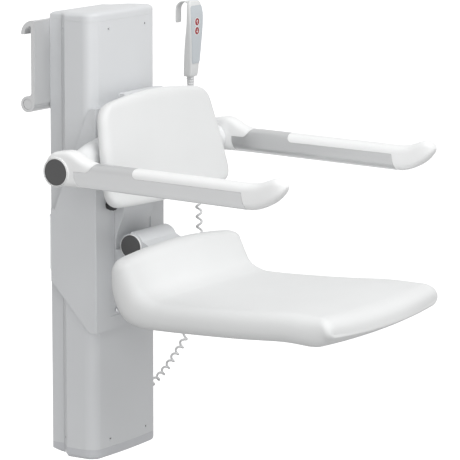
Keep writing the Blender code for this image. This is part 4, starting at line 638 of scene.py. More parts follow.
inner = front_path(RUNNING_GAP) + [(COLUMN_HALF + RUNNING_GAP, CARRIAGE_BACK)]
inner = [(-x, y) for x, y in reversed(inner[1:])] + inner
shell = prism("carriage_cover", "Z", outer + inner, CARRIAGE_BOTTOM, CARRIAGE_TOP, 20.0)
upper = near(CARRIAGE_BACK, BACK_TOP, (-0.0094, -0.0032), (-0.0120, 0.0030))
upper += near(CARRIAGE_FRONT, CARRIAGE_TOP, (0.0362, -0.0479), (0.0232, -0.0138), (0.0167, -0.0039), (0.0037, 0.0005))
slant = [(BIG, BACK_TOP), (CARRIAGE_BACK, BACK_TOP)] + [tuple(point) for point in smooth_line(upper, 24)]
cut(shell, "X", slant + [(CARRIAGE_FRONT + 0.0037, BIG), (BIG, BIG)], crease=20.0)
slant = [(BIG, -BIG), (BIG, BACK_BOTTOM)] + near(CARRIAGE_BACK, BACK_BOTTOM, (0.0, 0.0), (-0.0058, -0.0039))
slant += near(CARRIAGE_FRONT, CARRIAGE_BOTTOM, (0.0224, 0.0035), (0.0170, 0.0006), (0.0128, -0.0005))
cut(shell, "X", slant + [(CARRIAGE_FRONT + 0.0128, -BIG)], crease=20.0)
pocket = rounded(rectangle(-POCKET_HALF, POCKET_HALF, POCKET_BOTTOM, POCKET_TOP), 0.004)
cut(shell, "Y", pocket, CARRIAGE_FRONT - 0.01, CARRIAGE_FRONT + POCKET_DEPTH, crease=20.0)
fit(shell, "carriage", "pale_paint", "carriage_shell")
print("carriage %.0f mm wide, %.0f mm tall" % (2000 * CARRIAGE_HALF, 1000 * (CARRIAGE_TOP - CARRIAGE_BOTTOM)))

# %% Pocket bolts
for side, sign in SIDES:
    head, centre = CARRIAGE_FRONT + POCKET_DEPTH - GAP, (sign * BOLT_X, BOLT_Z)
    bolt = turned("pocket_bolt_%s_head" % side, "Y", centre,
                  [(head, 0.0045), (head - 0.0026, 0.0045), (head - 0.0036, 0.0038), (head - 0.0040, 0.0028)], 32)
    cut(bolt, "Y", arc(centre, 0.0020, 0, 300, 5), head - 0.01, head - 0.0020)
    fit(bolt, "carriage", "steel", "pocket_bolt_%s" % side)

# %% [markdown]
# ## The hinge housing
#
# A cast nose stands on the carriage. Above the hinge pin its face is scooped out, because the seat's
# round hood turns there when the seat folds up. One side view, extruded across, gives all of it.

# %% Hinge housing
PIVOT_Y, PIVOT_Z = CARRIAGE_FRONT - 0.0456, -0.3814
NOSE_HALF, NOSE_TOP, NOSE_FACE = 0.0572, CARRIAGE_TOP + 0.0119, CARRIAGE_FRONT - 0.0218
LUG, PIN, PIN_PLAY, LEDGE, NOSE_FOOT = 0.0215, 0.0080, 0.0001, 0.0113, -0.4586


def round_pivot(radius, start, end, steps):
    return arc((PIVOT_Y, PIVOT_Z), radius, start, end, steps)


base_y, proud_y = CARRIAGE_FRONT + POCKET_DEPTH - GAP, CARRIAGE_FRONT - GAP
scoop_y, ledge_z, scoop_top = PIVOT_Y + 0.0452, PIVOT_Z - LEDGE, PIVOT_Z + 0.0782
scoop = smooth_line([(NOSE_FACE, scoop_top), (NOSE_FACE + 0.0022, scoop_top - 0.0164),
                     (scoop_y - 0.0040, PIVOT_Z + 0.0220), (scoop_y, ledge_z)], 40)
outline = [(base_y, NOSE_FOOT), (base_y, POCKET_TOP - 0.001), (proud_y, POCKET_TOP - 0.001), (proud_y, CARRIAGE_TOP),
           (proud_y - 0.0040, CARRIAGE_TOP), (proud_y - 0.0040, NOSE_TOP), (NOSE_FACE, NOSE_TOP)]
outline += [tuple(point) for point in scoop] + round_pivot(LUG, -math.degrees(math.asin(LEDGE / LUG)), 235.0, 48)
outline += [(base_y - 0.0100, NOSE_FOOT)]
nose = prism("hinge_housing_cast", "X", outline, -NOSE_HALF, NOSE_HALF, 24.0)
drill(nose, "X", (PIVOT_Y, PIVOT_Z), -BIG, BIG, PIN + PIN_PLAY, 24.0)
soften(nose, 0.0007)
fit(nose, "carriage", "pale_paint", "hinge_housing")
print("hinge pin at y %.4f z %.4f" % (PIVOT_Y, PIVOT_Z))

# %% [markdown]
# ## The seat arm
#
# The seat hangs on a wide cast arm. Its hood wraps over the pin, its two cheeks reach down outside
# the housing, and a tongue runs forward under the seat. A dark cap with a pale rim closes each side.

# %% Seat arm
SEAT_HALF, SEAT_REAR, SEAT_FRONT = 0.2295, PIVOT_Y - 0.0509, -0.7900
SEAT_TOP, SEAT_THICK, TONGUE_END = -0.4587, 0.0616, -0.4700
ARM_HALF, KNUCKLE, HOOD, HOOD_WALL = 0.0650, 0.0275, 0.0315, 0.0055
under = SEAT_TOP - SEAT_THICK
rear = SEAT_REAR + 0.0008
low = under - 0.0008 - 0.0015
outline = round_pivot(KNUCKLE, -110.0, 88.0, 48) + round_pivot(HOOD, 90.0, 155.0, 24)
outline += near(rear, PIVOT_Z, (0.0035, 0.004), (0.0, -0.016)) + [(rear, SEAT_TOP + 0.004)]
outline += near(rear, under, (-0.0155, 0.0225), (-0.0300, 0.0060))
outline += [(rear - 0.0600, low), (TONGUE_END, low + 0.0020), (TONGUE_END, low - 0.0080)]
outline += near(rear, low, (-0.0600, -0.0150), (-0.0200, -0.0050)) + [(rear + 0.0160, SEAT_TOP - 0.010)]
seat_arm = prism("seat_arm_cast", "X", outline, -ARM_HALF, ARM_HALF, 24.0)
inside = HOOD - HOOD_WALL
well = round_pivot(inside, 180.0, 78.0, 30)
well += near(PIVOT_Y, PIVOT_Z, (0.0080, 0.050), (0.060, 0.050), (0.060, -0.120), (-0.0200, -0.120), (-inside, -0.060))
cut(seat_arm, "X", well, -NOSE_HALF - RUNNING_GAP, NOSE_HALF + RUNNING_GAP, crease=24.0)
drill(seat_arm, "X", (PIVOT_Y, PIVOT_Z), -BIG, BIG, PIN + PIN_PLAY, 24.0)
soften(seat_arm, 0.0006)
fit(seat_arm, "seat", "pale_paint", "seat_arm")


def disc_cap(name, face, sign, radius, height, centre, body, node_name):
    """A dark disc with a broken edge and a shallow dish, bare of any print."""
    outer = face + sign * height
    profile = [(face, radius), (outer - sign * 0.0009, radius), (outer - sign * 0.0003, radius - 0.0004),
               (outer, radius - 0.0012), (outer - sign * 0.0001, radius - 0.0030),
               (outer - sign * 0.0003, 0.4 * radius), (outer - sign * 0.00032, 0.02 * radius)]
    return fit(turned(name, "X", centre, profile, 96), body, "dark_cap", node_name)


def pale_ring(name, face, sign, inner, outer, height, centre, body):
    """The pale rim that frames a cap: a thin turned ring."""
    top, low_top, high_top = (face + sign * (height - drop) for drop in (0.0, 0.0006, 0.0004))
    profile = [(face, inner), (high_top, inner), (top, inner + 0.0004), (top, outer - 0.0006), (low_top, outer),
               (face, outer)]
    # The rim takes the brightened white copy of the shell, as painted light.
    return fit(turned(name, "X", centre, profile, 96, material=PAINTED_LIGHT_WHITE, hoop=True), body, "white_shell")


for side, sign in SIDES:
    centre, face = (PIVOT_Y, PIVOT_Z), sign * (ARM_HALF + GAP)
    disc_cap("seat_cap_%s" % side, face, sign, 0.0247, 0.0026, centre, "seat", "seat_hinge_cap_%s" % side)
    pale_ring("seat_cap_rim_%s" % side, sign * ARM_HALF, sign, 0.0250, 0.0265, 0.0026, centre, "seat")
print("seat arm %.0f mm wide" % (2000 * ARM_HALF))

# %% [markdown]
# ## The seat and the backrest
#
# Both are thick moulded shells without an edge anywhere. They are made as two skins over the same
# net, which meet in a rounded rim: the net is fine where the rim turns. The seat's side view comes
# from two smooth lines, one above and one below; its rear curls up into a lip, and its front corners
# are drawn in.

# %% Shell tools
RIM_POWER = 2.3


def rim_share(place, half_width, rim):
    """Share of the thickness left at this place across a shell with round rims."""
    inner = 1.0 - rim / half_width
    past = max(0.0, abs(place) - inner) / (1.0 - inner)
    return max(0.0, 1.0 - past ** RIM_POWER) ** (1.0 / RIM_POWER)


def corner_inset(distance, corner):
    past = max(0.0, corner - distance)
    return corner - math.sqrt(max(0.0, corner ** 2 - past ** 2))


def across(half_width, rim, flat, turn):
    """Places across a shell: even over the flat, by angle round the rims."""
    inner = 1.0 - rim / half_width
    rim_places = [inner + (1.0 - inner) * math.sin(math.pi / 2.0 * step / turn) for step in range(1, turn + 1)]
    flat_places = [inner * (2.0 * column / flat - 1.0) for column in range(flat + 1)]
    return [-value for value in reversed(rim_places)] + flat_places + rim_places


def two_skins(name, rows, shares, place):
    """Close an upper and an under skin along their common rim."""
    last = len(shares) - 1
    points, index_of, faces = [], {}, []
    for row in range(rows):
        for column, share in enumerate(shares):
            on_rim = row in (0, rows - 1) or column in (0, last)
            for side in (1, -1):
                if on_rim and side < 0:
                    index_of[row, column, side] = index_of[row, column, 1]
                else:
                    index_of[row, column, side] = len(points)
                    points.append(place(row, share, 0 if on_rim else side))
    for row in range(rows - 1):
        for column in range(last):
            ring = [(row, column), (row, column + 1), (row + 1, column + 1), (row + 1, column)]
            faces.append(tuple(index_of[r, c, 1] for r, c in ring))
            faces.append(tuple(index_of[r, c, -1] for r, c in reversed(ring)))
    return piece(name, points, faces, 180.0)


# %% Seat shell
LIP_TOP, LIP_THICK = -0.3640, 0.0490
FRONT_Z = SEAT_TOP + 0.0136
LIP_FRONT = SEAT_REAR - LIP_THICK
NOSE_Z = under + 0.0300
UNDER_LINE = near(SEAT_REAR, LIP_TOP, (-0.0215, -0.0012), (-0.0140, -0.0024), (-0.0058, -0.0095), (-0.0010, -0.0240),
                  (0.0, -0.0450)) + [(SEAT_REAR - 0.0035, SEAT_TOP + 0.0060)]
UNDER_LINE += near(SEAT_REAR, under, (-0.0235, 0.0225), (-0.0600, 0.0030), (-0.1200, 0.0), (-0.2900, 0.0047))
UNDER_LINE += near(SEAT_FRONT, under, (0.1300, 0.0111), (0.0480, 0.0053), (0.0180, 0.0182), (0.0065, 0.0222),
                   (0.0015, 0.0251)) + [(SEAT_FRONT, NOSE_Z)]
TOP_LINE = near(SEAT_REAR, LIP_TOP, (-0.0215, -0.0012), (-0.0280, -0.0016), (-0.0355, -0.0046), (-0.0428, -0.0105))
TOP_LINE += near(LIP_FRONT, LIP_TOP, (0.0015, -0.0195), (-0.0060, -0.0380))
TOP_LINE += near(LIP_FRONT, SEAT_TOP, (-0.0240, 0.0200), (-0.0500, 0.0050), (-0.0900, 0.0), (-0.2400, 0.0050))
TOP_LINE += near(SEAT_FRONT, FRONT_Z, (0.1300, -0.0010), (0.0520, -0.0044), (0.0270, -0.0079), (0.0110, -0.0160),
                 (0.0024, -0.0277)) + [(SEAT_FRONT, NOSE_Z)]
SEAT_ROWS, SEAT_RIM, REAR_CORNER, FRONT_CORNER = 121, 0.0280, 0.0320, 0.0235
LIP_REACH, LIP_DROP = 0.09, 0.0130
FRONT_REACH, FRONT_BACK, FRONT_LIFT = 0.20, 0.0104, 0.0109
top_line = smooth_line(TOP_LINE, SEAT_ROWS, UNDER_LINE[1], UNDER_LINE[-2])
under_line = smooth_line(UNDER_LINE, SEAT_ROWS, TOP_LINE[1], TOP_LINE[-2])
middle = [(a + b) / 2.0 for a, b in zip(top_line, under_line)]
run = [0.0]
for before, after in zip(middle, middle[1:]):
    run.append(run[-1] + (after - before).length)


def seat_point(row, share, side):
    """A point of the seat: side 1 on the upper skin, -1 on the under skin, 0 on the rim."""
    to_front = run[-1] - run[row]
    width = SEAT_HALF - corner_inset(run[row], REAR_CORNER) - corner_inset(to_front, FRONT_CORNER)
    surface = {1: top_line, -1: under_line, 0: middle}[side][row]
    point = middle[row] + (surface - middle[row]) * rim_share(share, SEAT_HALF, SEAT_RIM)
    lip, front = max(0.0, 1.0 - run[row] / LIP_REACH), max(0.0, 1.0 - to_front / FRONT_REACH)
    y = point.x + FRONT_BACK * share ** 2 * front ** 2
    z = point.y - LIP_DROP * share ** 2 * lip + FRONT_LIFT * share ** 2 * front ** 2
    return (share * width, y, z)


seat = two_skins("seat_shell_moulded", SEAT_ROWS, across(SEAT_HALF, SEAT_RIM, 24, 12), seat_point)
relax = seat.modifiers.new("relaxed rims", "SMOOTH")
relax.factor = 0.5
relax.iterations = 8
fit(seat, "seat", "white_shell", "seat_shell")
print("seat %.0f mm wide, %.0f mm deep" % (2000 * SEAT_HALF, 1000 * (SEAT_REAR - SEAT_FRONT)))

# %% Backrest shell
BACK_LOW, BACK_HIGH = Vector((NOSE_FACE - 0.0825, -0.2805)), Vector((NOSE_FACE - 0.0321, -0.0500))
LOW_HALF, HIGH_HALF, BACK_THICK, BACK_RIM, BACK_ROWS = 0.2315, 0.1978, 0.0290, 0.0230, 61
LOW_CORNER, HIGH_CORNER = 0.0400, 0.0430
lean = BACK_HIGH - BACK_LOW
along = lean.normalized()
ahead = Vector((-along.y, along.x))


def back_point(row, share, side):
    """A point of the backrest, row by row from its lower edge."""
    t = 0.5 - 0.5 * math.cos(math.pi * row / (BACK_ROWS - 1))
    height = t * lean.length
    width = LOW_HALF + (HIGH_HALF - LOW_HALF) * t ** 1.45
    width -= corner_inset(height, LOW_CORNER) + corner_inset(lean.length - height, HIGH_CORNER)
    thick = rim_share(share, LOW_HALF, BACK_RIM) * rim_share(2.0 * t - 1.0, lean.length / 2.0, BACK_RIM)
    arch = -0.0120 * share ** 2 * t ** 3 + 0.0060 * share ** 2 * (1 - t) ** 3
    point = BACK_LOW + along * (height + arch) + ahead * (side * thick * BACK_THICK / 2.0)
    return (share * width, point.x, point.y)


backrest = two_skins("backrest_shell_moulded", BACK_ROWS, across(LOW_HALF, BACK_RIM, 20, 12), back_point)
fit(backrest, "carriage", "white_shell", "backrest_shell")
print("backrest %.0f mm wide at the foot, %.0f mm at the top" % (2000 * LOW_HALF, 2000 * HIGH_HALF))

# %% [markdown]
# A folded sheet hooks over the housing and carries the backrest. Only its upper edge shows from the
# front, as a thin pale strip. Two rubber buffers on the carriage keep the sheet from rattling.

# %% Backrest hanger and buffers
HANGER_HALF, HANGER_SHEET, HANGER_TOP = NOSE_HALF + 0.0193, 0.0025, -0.0525
slope = (BACK_HIGH.x - BACK_LOW.x) / (BACK_HIGH.y - BACK_LOW.y)
behind = (BACK_THICK / 2.0 + 0.0008) * math.hypot(1.0, slope)


def back_face(z):
    """Depth of the backrest's flat back at this height."""
    return BACK_LOW.x + (z - BACK_LOW.y) * slope + behind


hook_y, top_run, low_run = NOSE_FACE - GAP, BACK_HIGH.y - 0.0230, BACK_LOW.y + 0.0500
sheet = [(hook_y, NOSE_TOP - 0.0350)] + near(hook_y, HANGER_TOP, (0.0, -0.0030), (-0.0009, -0.0009), (-0.0030, 0.0))
sheet += [(back_face(top_run) + 0.0080, HANGER_TOP), (back_face(top_run), top_run), (back_face(low_run), low_run),
          (hook_y - HANGER_SHEET, low_run - 0.0100)]
inner_side = offset_path(sheet, HANGER_SHEET)
hanger = prism("backrest_hanger_sheet", "X", sheet + list(reversed(inner_side)), -HANGER_HALF, HANGER_HALF, 24.0)
corners = rounded(rectangle(-HANGER_HALF, HANGER_HALF, BACK_LOW.y, HANGER_TOP), 0.014, 10)
cut(hanger, "Y", corners, operation="INTERSECT", crease=24.0)
fit(hanger, "carriage", "pale_paint", "backrest_hanger")
fill_side = inner_side[1:5] + [(inner_side[4][0], HANGER_TOP - 0.0100), (inner_side[1][0], HANGER_TOP - 0.0100)]
fold = prism("backrest_hanger_fold", "X", fill_side, -HANGER_HALF + 0.0030, HANGER_HALF - 0.0030)
fit(fold, "carriage", "pale_paint")
for side, sign in SIDES:
    buffer = turned("backrest_buffer_%s" % side, "Y", (sign * 0.0845, -0.2925),
                    [(CARRIAGE_FRONT - GAP, 0.0095), (-0.1560, 0.0115), (-0.1640, 0.0115), (-0.1680, 0.0100),
                     (-0.1690, 0.0070)], 40, material=RUBBER)
    fit(buffer, "carriage", "dark_cap")
print("hanger %.0f mm wide" % (2000 * HANGER_HALF))

# %% [markdown]
# ## The arm supports
#
# Each arm is one long bar shape, shared out between three materials: a plastic collar round the hub,
# a metal bar, and a plastic pad that runs along the top and ends in an upturned tip. So the whole bar
# is made once and cut along the lines where the materials meet, and the three pieces fit exactly.

# %% Arm bar
ARM_X, BAR_HALF, BAR_CORNER = 0.3010, 0.0195, 0.0165
ARM_Y, ARM_Z = CARRIAGE_FRONT - 0.0344, -0.1888
HUB, HUB_RISE, HUB_DROP, HUB_CORNER = 0.0315, 0.0415, 0.0285, 0.0100
HUMP_END, BAR_END, TIP_FRONT = -0.2900, -0.6350, -0.7258
LOW_REAR, LOW_FRONT, HIGH_REAR, HIGH_FRONT = -0.2190, -0.2265, -0.1665, -0.1732
BAR_START, COLLAR_STEP, STEP_Z, COLLAR_END = -0.2258, -0.2570, -0.1838, -0.2740
hump = [(ARM_Y, ARM_Z + HUB_RISE), (-0.2070, -0.1441), (-0.2248, -0.1480), (-0.2495, -0.1600), (-0.2742, -0.1668),
        (HUMP_END, HIGH_REAR)]
crest = [(BAR_END, HIGH_FRONT), (-0.6500, -0.1724), (-0.6670, -0.1696), (-0.6860, -0.1629), (-0.7030, -0.1574),
         (-0.7150, -0.1600), (-0.7216, -0.1655), (TIP_FRONT, -0.1740)]
keel = [(BAR_END, LOW_FRONT), (-0.6540, -0.2255), (-0.6750, -0.2193), (-0.6970, -0.2080), (-0.7128, -0.1950),
        (-0.7223, -0.1825), (TIP_FRONT, -0.1740)]
over_line = smooth_line(hump, 60) + smooth_line(crest, 90)
below_line = [Vector((ARM_Y, ARM_Z - HUB_DROP)), Vector((HUMP_END, LOW_REAR))] + smooth_line(keel, 90)
print("arm droops %.1f mm from collar to tip" % (1000 * (HIGH_REAR - HIGH_FRONT)))


def height_at(line, y):
    """Height of a forward running line at this y."""
    for before, after in zip(line, line[1:]):
        if y >= after.x:
            share = (before.x - y) / max(before.x - after.x, 1e-9)
            return before.y + (after.y - before.y) * min(max(share, 0.0), 1.0)
    return line[-1].y


def bar_section(sign, y, low, high, half_width, corner):
    return [(sign * ARM_X + x, y, z) for x, z in rounded(rectangle(-half_width, half_width, low, high), corner, 8)]


def arm_bar(name, sign):
    """The whole arm from the back of its hub to the tip of its pad."""
    rings = []
    for step in range(16):
        share = math.cos(math.radians(8.0 + 82.0 * step / 15))
        reach = math.sqrt(1.0 - share ** 2)
        rings.append(bar_section(sign, ARM_Y + HUB * share, ARM_Z - HUB_DROP * reach, ARM_Z + HUB_RISE * reach,
                                 BAR_HALF - 0.0040 * share ** 4, HUB_CORNER))
    for step in range(1, 31):
        share = step / 30
        y = ARM_Y + share * (HUMP_END - ARM_Y)
        corner = HUB_CORNER + (BAR_CORNER - HUB_CORNER) * min(1.0, 2.0 * share)
        rings.append(bar_section(sign, y, height_at(below_line, y), height_at(over_line, y), BAR_HALF, corner))
    for step in range(41):
        share = 0.995 * math.sin(math.pi / 2.0 * step / 40)
        y = BAR_END + share * (TIP_FRONT - BAR_END)
        low, high = height_at(below_line, y), height_at(over_line, y)
        half_width = BAR_HALF * math.sqrt(1.0 - 0.97 * share ** 8)
        corner = min(BAR_CORNER, 0.44 * (high - low), 0.9 * half_width)
        rings.append(bar_section(sign, y, low, high, half_width, corner))
    return loft(name, rings, 40.0)


# %% Where the arm's materials meet
HEEL_Y, HEEL_RADIUS, PAD_STEP, ARM_BORE = -0.3700, 0.0100, BAR_END - 0.0060, 0.01008


def pad_line(y):
    """Height of the joint between pad and bar."""
    return -0.1850 + (-0.1905 + 0.1850) * (HUMP_END - y) / (HUMP_END - BAR_END)


lower_line = smooth_line(near(BAR_START, LOW_REAR, (-0.0150, -0.0010), (-0.0065, 0.0100), (-0.0012, 0.0220))
                         + [(BAR_START, STEP_Z)], 18)
upper_line = smooth_line(near(COLLAR_STEP, STEP_Z, (0.004, 0.0), (0.0, 0.0004), (-0.0055, 0.0040), (-0.0110, 0.0100))
                         + [(COLLAR_END, HIGH_REAR + 0.0010)], 22)
boundary = [tuple(point) for point in lower_line + upper_line]
low_z, high_z = LOW_FRONT - 0.05, HIGH_REAR + 0.06
collar_zone = [(0.0, low_z), (boundary[0][0], low_z)] + boundary + [(COLLAR_END - 0.002, high_z), (0.0, high_z)]
back = [(y - GAP, z - GAP) for y, z in boundary]
heel = (HEEL_Y - HEEL_RADIUS, pad_line(HEEL_Y) + HEEL_RADIUS)
pad_end = smooth_line([(BAR_END + 0.0060, pad_line(BAR_END)), (BAR_END + 0.0025, LOW_FRONT + 0.0180),
                       (PAD_STEP, LOW_FRONT - 0.0002)], 14)
pad_end = [tuple(point) for point in pad_end]
bar_zone = [(back[0][0], low_z)] + back + [(COLLAR_END - 0.0023, high_z), (HEEL_Y + GAP, high_z)]
bar_zone += arc(heel, HEEL_RADIUS + GAP, 0.0, -90.0, 16) + [(y + GAP, z - GAP) for y, z in pad_end]
bar_zone += [(PAD_STEP + GAP, low_z)]
pad_zone = [(HEEL_Y, high_z)] + arc(heel, HEEL_RADIUS, 0.0, -90.0, 16) + pad_end
pad_zone += [(PAD_STEP, low_z), (-BIG, low_z), (-BIG, high_z)]

# %% Both arms
for side, sign in SIDES:
    body, hub = "arm_%s" % side, (ARM_Y, ARM_Z)
    # Collar and pad take the brightened white copy of the shell, as painted light; the tube takes the arm metal.
    for label, zone, material, slot in (("collar", collar_zone, PAINTED_LIGHT_WHITE, "white_shell"),
                                        ("tube", bar_zone, ARM_METAL, "aluminium"),
                                        ("pad", pad_zone, PAINTED_LIGHT_WHITE, "white_shell")):
        made = arm_bar("arm_%s_%s_shaped" % (label, side), sign)
        made.data.materials.append(material)
        cut(made, "X", zone, operation="INTERSECT", crease=40.0)
        if label == "collar":
            inner = sign * (ARM_X - BAR_HALF)
            drill(made, "X", hub, inner - sign * 0.01, inner + sign * 0.024, ARM_BORE, 40.0)
        fit(made, body, slot, "arm_%s_%s" % (label, side))
    flank = sign * (ARM_X + BAR_HALF)
    disc_cap("arm_cap_%s" % side, flank + sign * GAP, sign, 0.0272, 0.0023, hub, body, "hub_cap_%s" % side)
    pale_ring("arm_cap_rim_%s" % side, flank, sign, 0.0275, 0.0291, 0.0030, hub, body)
    pale_ring("arm_cap_boss_%s" % side, flank - sign * 0.0090, sign, 0.0299, 0.0310, 0.0112, hub, body)
print("arms %.0f mm apart, bar %.0f x %.0f mm" % (2000 * ARM_X, 2000 * BAR_HALF, 1000 * (HIGH_REAR - LOW_REAR)))

# %% [markdown]
# ## The arm carriers
#
# A trumpet-shaped casting on each side brings the load from the arm's hub in to the carriage. Its
# section changes from nearly square at the root to round at the hub, so each ring is a superellipse
# and the sizes between the measured ones come from a smooth line.

# %% Carriers
HUB_IN = ARM_X - BAR_HALF - RUNNING_GAP
ROOT = HANGER_HALF + 0.0010
BACK_FACE, FRONT_FACE, TALL, HUB_HALF = CARRIAGE_FRONT - GAP, CARRIAGE_FRONT - 0.0560, 0.0560, 0.0285
SECTIONS = [(0.000, BACK_FACE, FRONT_FACE, TALL), (0.160, BACK_FACE, FRONT_FACE, TALL - 0.0005),
            (0.308, BACK_FACE, FRONT_FACE, TALL - 0.0030), (0.436, BACK_FACE, FRONT_FACE - 0.0010, TALL - 0.0075),
            (0.603, BACK_FACE - 0.0010, FRONT_FACE - 0.0030, TALL - 0.0140),
            (0.776, ARM_Y + HUB_HALF + 0.002, ARM_Y - HUB_HALF + 0.003, HUB_HALF + 0.0030)]
SECTIONS += [(share, ARM_Y + HUB_HALF, ARM_Y - HUB_HALF, HUB_HALF) for share in (0.899, 1.000)]
# The carriers take a brighter copy of the pale paint: painted light standing in for the stronger light on their sides.
CARRIER_PAINTED_LIGHT = finish("pale paint brightened as painted light", (0.87, 0.88, 0.885), 0.45, 0.010, 900.0, 0.15, specular=0.30)
for side, sign in SIDES:
    rings = []
    for share, back_y, front_y, half_height in smooth_line(SECTIONS, 50):
        power = 0.80 + 0.20 * min(1.0, share / 0.80)
        ring = []
        for c, s in circle((0.0, 0.0), 1.0, 64):
            ring.append((sign * (ROOT + (HUB_IN - ROOT) * share),
                         (back_y + front_y) / 2.0 + (back_y - front_y) / 2.0 * math.copysign(abs(c) ** power, c),
                         ARM_Z + half_height * math.copysign(abs(s) ** power, s)))
        rings.append(ring)
    carrier = loft("arm_carrier_%s_cast" % side, rings, 50.0, CARRIER_PAINTED_LIGHT)
    fit(carrier, "carriage", "pale_paint", "arm_carrier_%s" % side)
print("carriers reach from x %.4f to %.4f" % (ROOT, HUB_IN))

# %% [markdown]
# ## The hand control
#
# A slim two-part case with a strap hook on its back, a printed film on its front and two red keys.
# The case is a loft of rounded sections, cut in two along the joint. The film carries no lettering;
# only the two arrows stay, because they say which key is up and which is down.

# %% Case
CONTROL_TOP = 0.0885
CONTROL_SECTIONS = [(CONTROL_FOOT, 0.0146, -0.0112, 0.0088), (-0.0800, 0.0160, -0.0126, 0.0090),
                    (-0.0550, 0.0176, -0.0150, 0.0072), (-0.0100, 0.0216, -0.0173, 0.0022),
                    (0.0300, 0.0254, -0.0184, -0.0045), (0.0560, 0.0264, -0.0180, -0.0060),
                    (0.0760, 0.0242, -0.0152, -0.0052), (0.0845, 0.0200, -0.0130, -0.0056),
                    (CONTROL_TOP, 0.0130, -0.0108, -0.0060)]
fine_sections = smooth_line(CONTROL_SECTIONS, 57)


def section_at(z):
    """Half width, front and back of the case at this height."""
    for low, high in zip(fine_sections, fine_sections[1:]):
        if z <= high[0]:
            share = (z - low[0]) / (high[0] - low[0])
            return [a + (b - a) * share for a, b in zip(low[1:], high[1:])]
    return list(fine_sections[-1][1:])


def case_rings():
    """Rounded sections of the whole case, from foot to top."""
    rings = []
    for z, half_width, front_y, back_y in fine_sections:
        z = max(min(z, CONTROL_TOP), CONTROL_FOOT)
        corner = min(0.0050, 0.42 * (back_y - front_y))
        section = rounded(rectangle(-half_width, half_width, front_y, back_y), corner, 7)
        rings.append([(CONTROL_X + x, y, z) for x, y in section])
    return rings


def joint_side(front):
    """Side view of the room in front of or behind the joint line."""
    line = [((front_y + back_y) / 2.0 + (-GAP if front else 0.0), z) for z, _, front_y, back_y in fine_sections[::4]]
    line = [(line[0][0], line[0][1] - 0.02)] + line + [(line[-1][0], line[-1][1] + 0.04)]
    far = -0.2 if front else 0.2
    return line + [(far, line[-1][1]), (far, line[0][1])]


halves = {}
for label, front in (("front", True), ("rear", False)):
    made = loft("hand_control_%s_case" % label, case_rings(), 40.0)
    halves[label] = cut(made, "X", joint_side(front), CONTROL_X - 0.1, CONTROL_X + 0.1, "INTERSECT", 40.0)
print("hand control %.0f mm long" % (1000 * (CONTROL_TOP - CONTROL_FOOT)))

# %% Hook strap
HOOK_RADIUS, HOOK_SHEET, HOOK_HALF, HOOK_END = 0.0186, 0.0028, 0.0100, 0.0345
hook_z = CONTROL_TOP - HOOK_RADIUS - HOOK_SHEET - 0.003
root_y = section_at(hook_z)[2] - 0.0010
strap = [(root_y, hook_z - 0.006)] + arc((root_y + HOOK_RADIUS, hook_z), HOOK_RADIUS, 180.0, 0.0, 32)
strap += [(root_y + 2 * HOOK_RADIUS, HOOK_END)]
hook = prism("hook", "X", walled(strap, HOOK_SHEET), CONTROL_X - HOOK_HALF, CONTROL_X + HOOK_HALF, 40.0)
trim = rounded(rectangle(CONTROL_X - HOOK_HALF, CONTROL_X + HOOK_HALF, HOOK_END, HOOK_END + 0.2), 0.006, 8)
cut(hook, "Y", trim, operation="INTERSECT", crease=40.0)
carve(halves["rear"], hook, "UNION", 40.0)
soften(halves["rear"], 0.0005, 50.0)
fit(halves["rear"], "wall_side", "white_shell", "handset_rear")

# %% Keypad film
LABEL_TOP, LABEL_BOTTOM, LABEL_MARGIN, FILM = 0.0760, -0.0560, 0.0022, 0.0006
film_rings = []
for step in range(41):
    z = LABEL_BOTTOM + (LABEL_TOP - LABEL_BOTTOM) * step / 40
    near_end = min(z - LABEL_BOTTOM, LABEL_TOP - z)
    half_width = section_at(z)[0] - LABEL_MARGIN - corner_inset(near_end, 0.0030)
    face = section_at(z)[1] - GAP
    film_rings.append([(CONTROL_X - half_width, face, z), (CONTROL_X + half_width, face, z),
                       (CONTROL_X + half_width, face - FILM, z), (CONTROL_X - half_width, face - FILM, z)])
film = loft("keypad_film", film_rings, 40.0)

# %% Keys and arrows
KEY, KEY_UP_Z, KEY_DOWN_Z = 0.0080, 0.0390, 0.0184
ARROW = [(0.0, 0.0050), (0.0040, 0.0004), (0.0009, 0.0016), (0.0009, -0.0048), (-0.0009, -0.0048), (-0.0009, 0.0016),
         (-0.0040, 0.0004)]
for name, body, z, way in (("button_up", "up_key", KEY_UP_Z, 1.0), ("button_down", "down_key", KEY_DOWN_Z, -1.0)):
    centre, face = (CONTROL_X, z), section_at(z)[1]
    for target in (halves["front"], film):
        drill(target, "Y", centre, -0.1, face + 0.004, KEY + 0.0004, 40.0)
    crown = face - FILM - 0.0005
    fit(turned(name + "_key", "Y", centre, [(face + 0.002, KEY), (crown + 0.0007, KEY), (crown + 0.0002, KEY - 0.0003),
                                            (crown, KEY - 0.0010), (crown + 0.0001, 0.5 * KEY),
                                            (crown + 0.0001, 0.02 * KEY)]), body, "button_red", name)
    shape = [(CONTROL_X + x, z + way * h) for x, h in ARROW]
    fit(prism(name + "_arrow", "Y", shape, crown - 0.00015, crown + 0.0004, material=ARROW_WHITE), body, "button_red")
    film_face = face - GAP - FILM
    rings = []
    for radius, depth in near(KEY, 0.0, (0.0005, 0.0), (0.0005, -0.00015), (0.0024, -0.00015), (0.0024, 0.0)):
        rings.append([(x, film_face + depth + (section_at(height)[1] - face), height)
                      for x, height in circle(centre, radius, 64)])
    fit(loft(name + "_ring", rings, material=ARROW_WHITE, hoop=True), "wall_side", "label_blue")
fit(halves["front"], "wall_side", "white_shell", "handset_front")
fit(film, "wall_side", "label_blue", "keypad_label")
print("keys at z", KEY_UP_Z, "and", KEY_DOWN_Z)

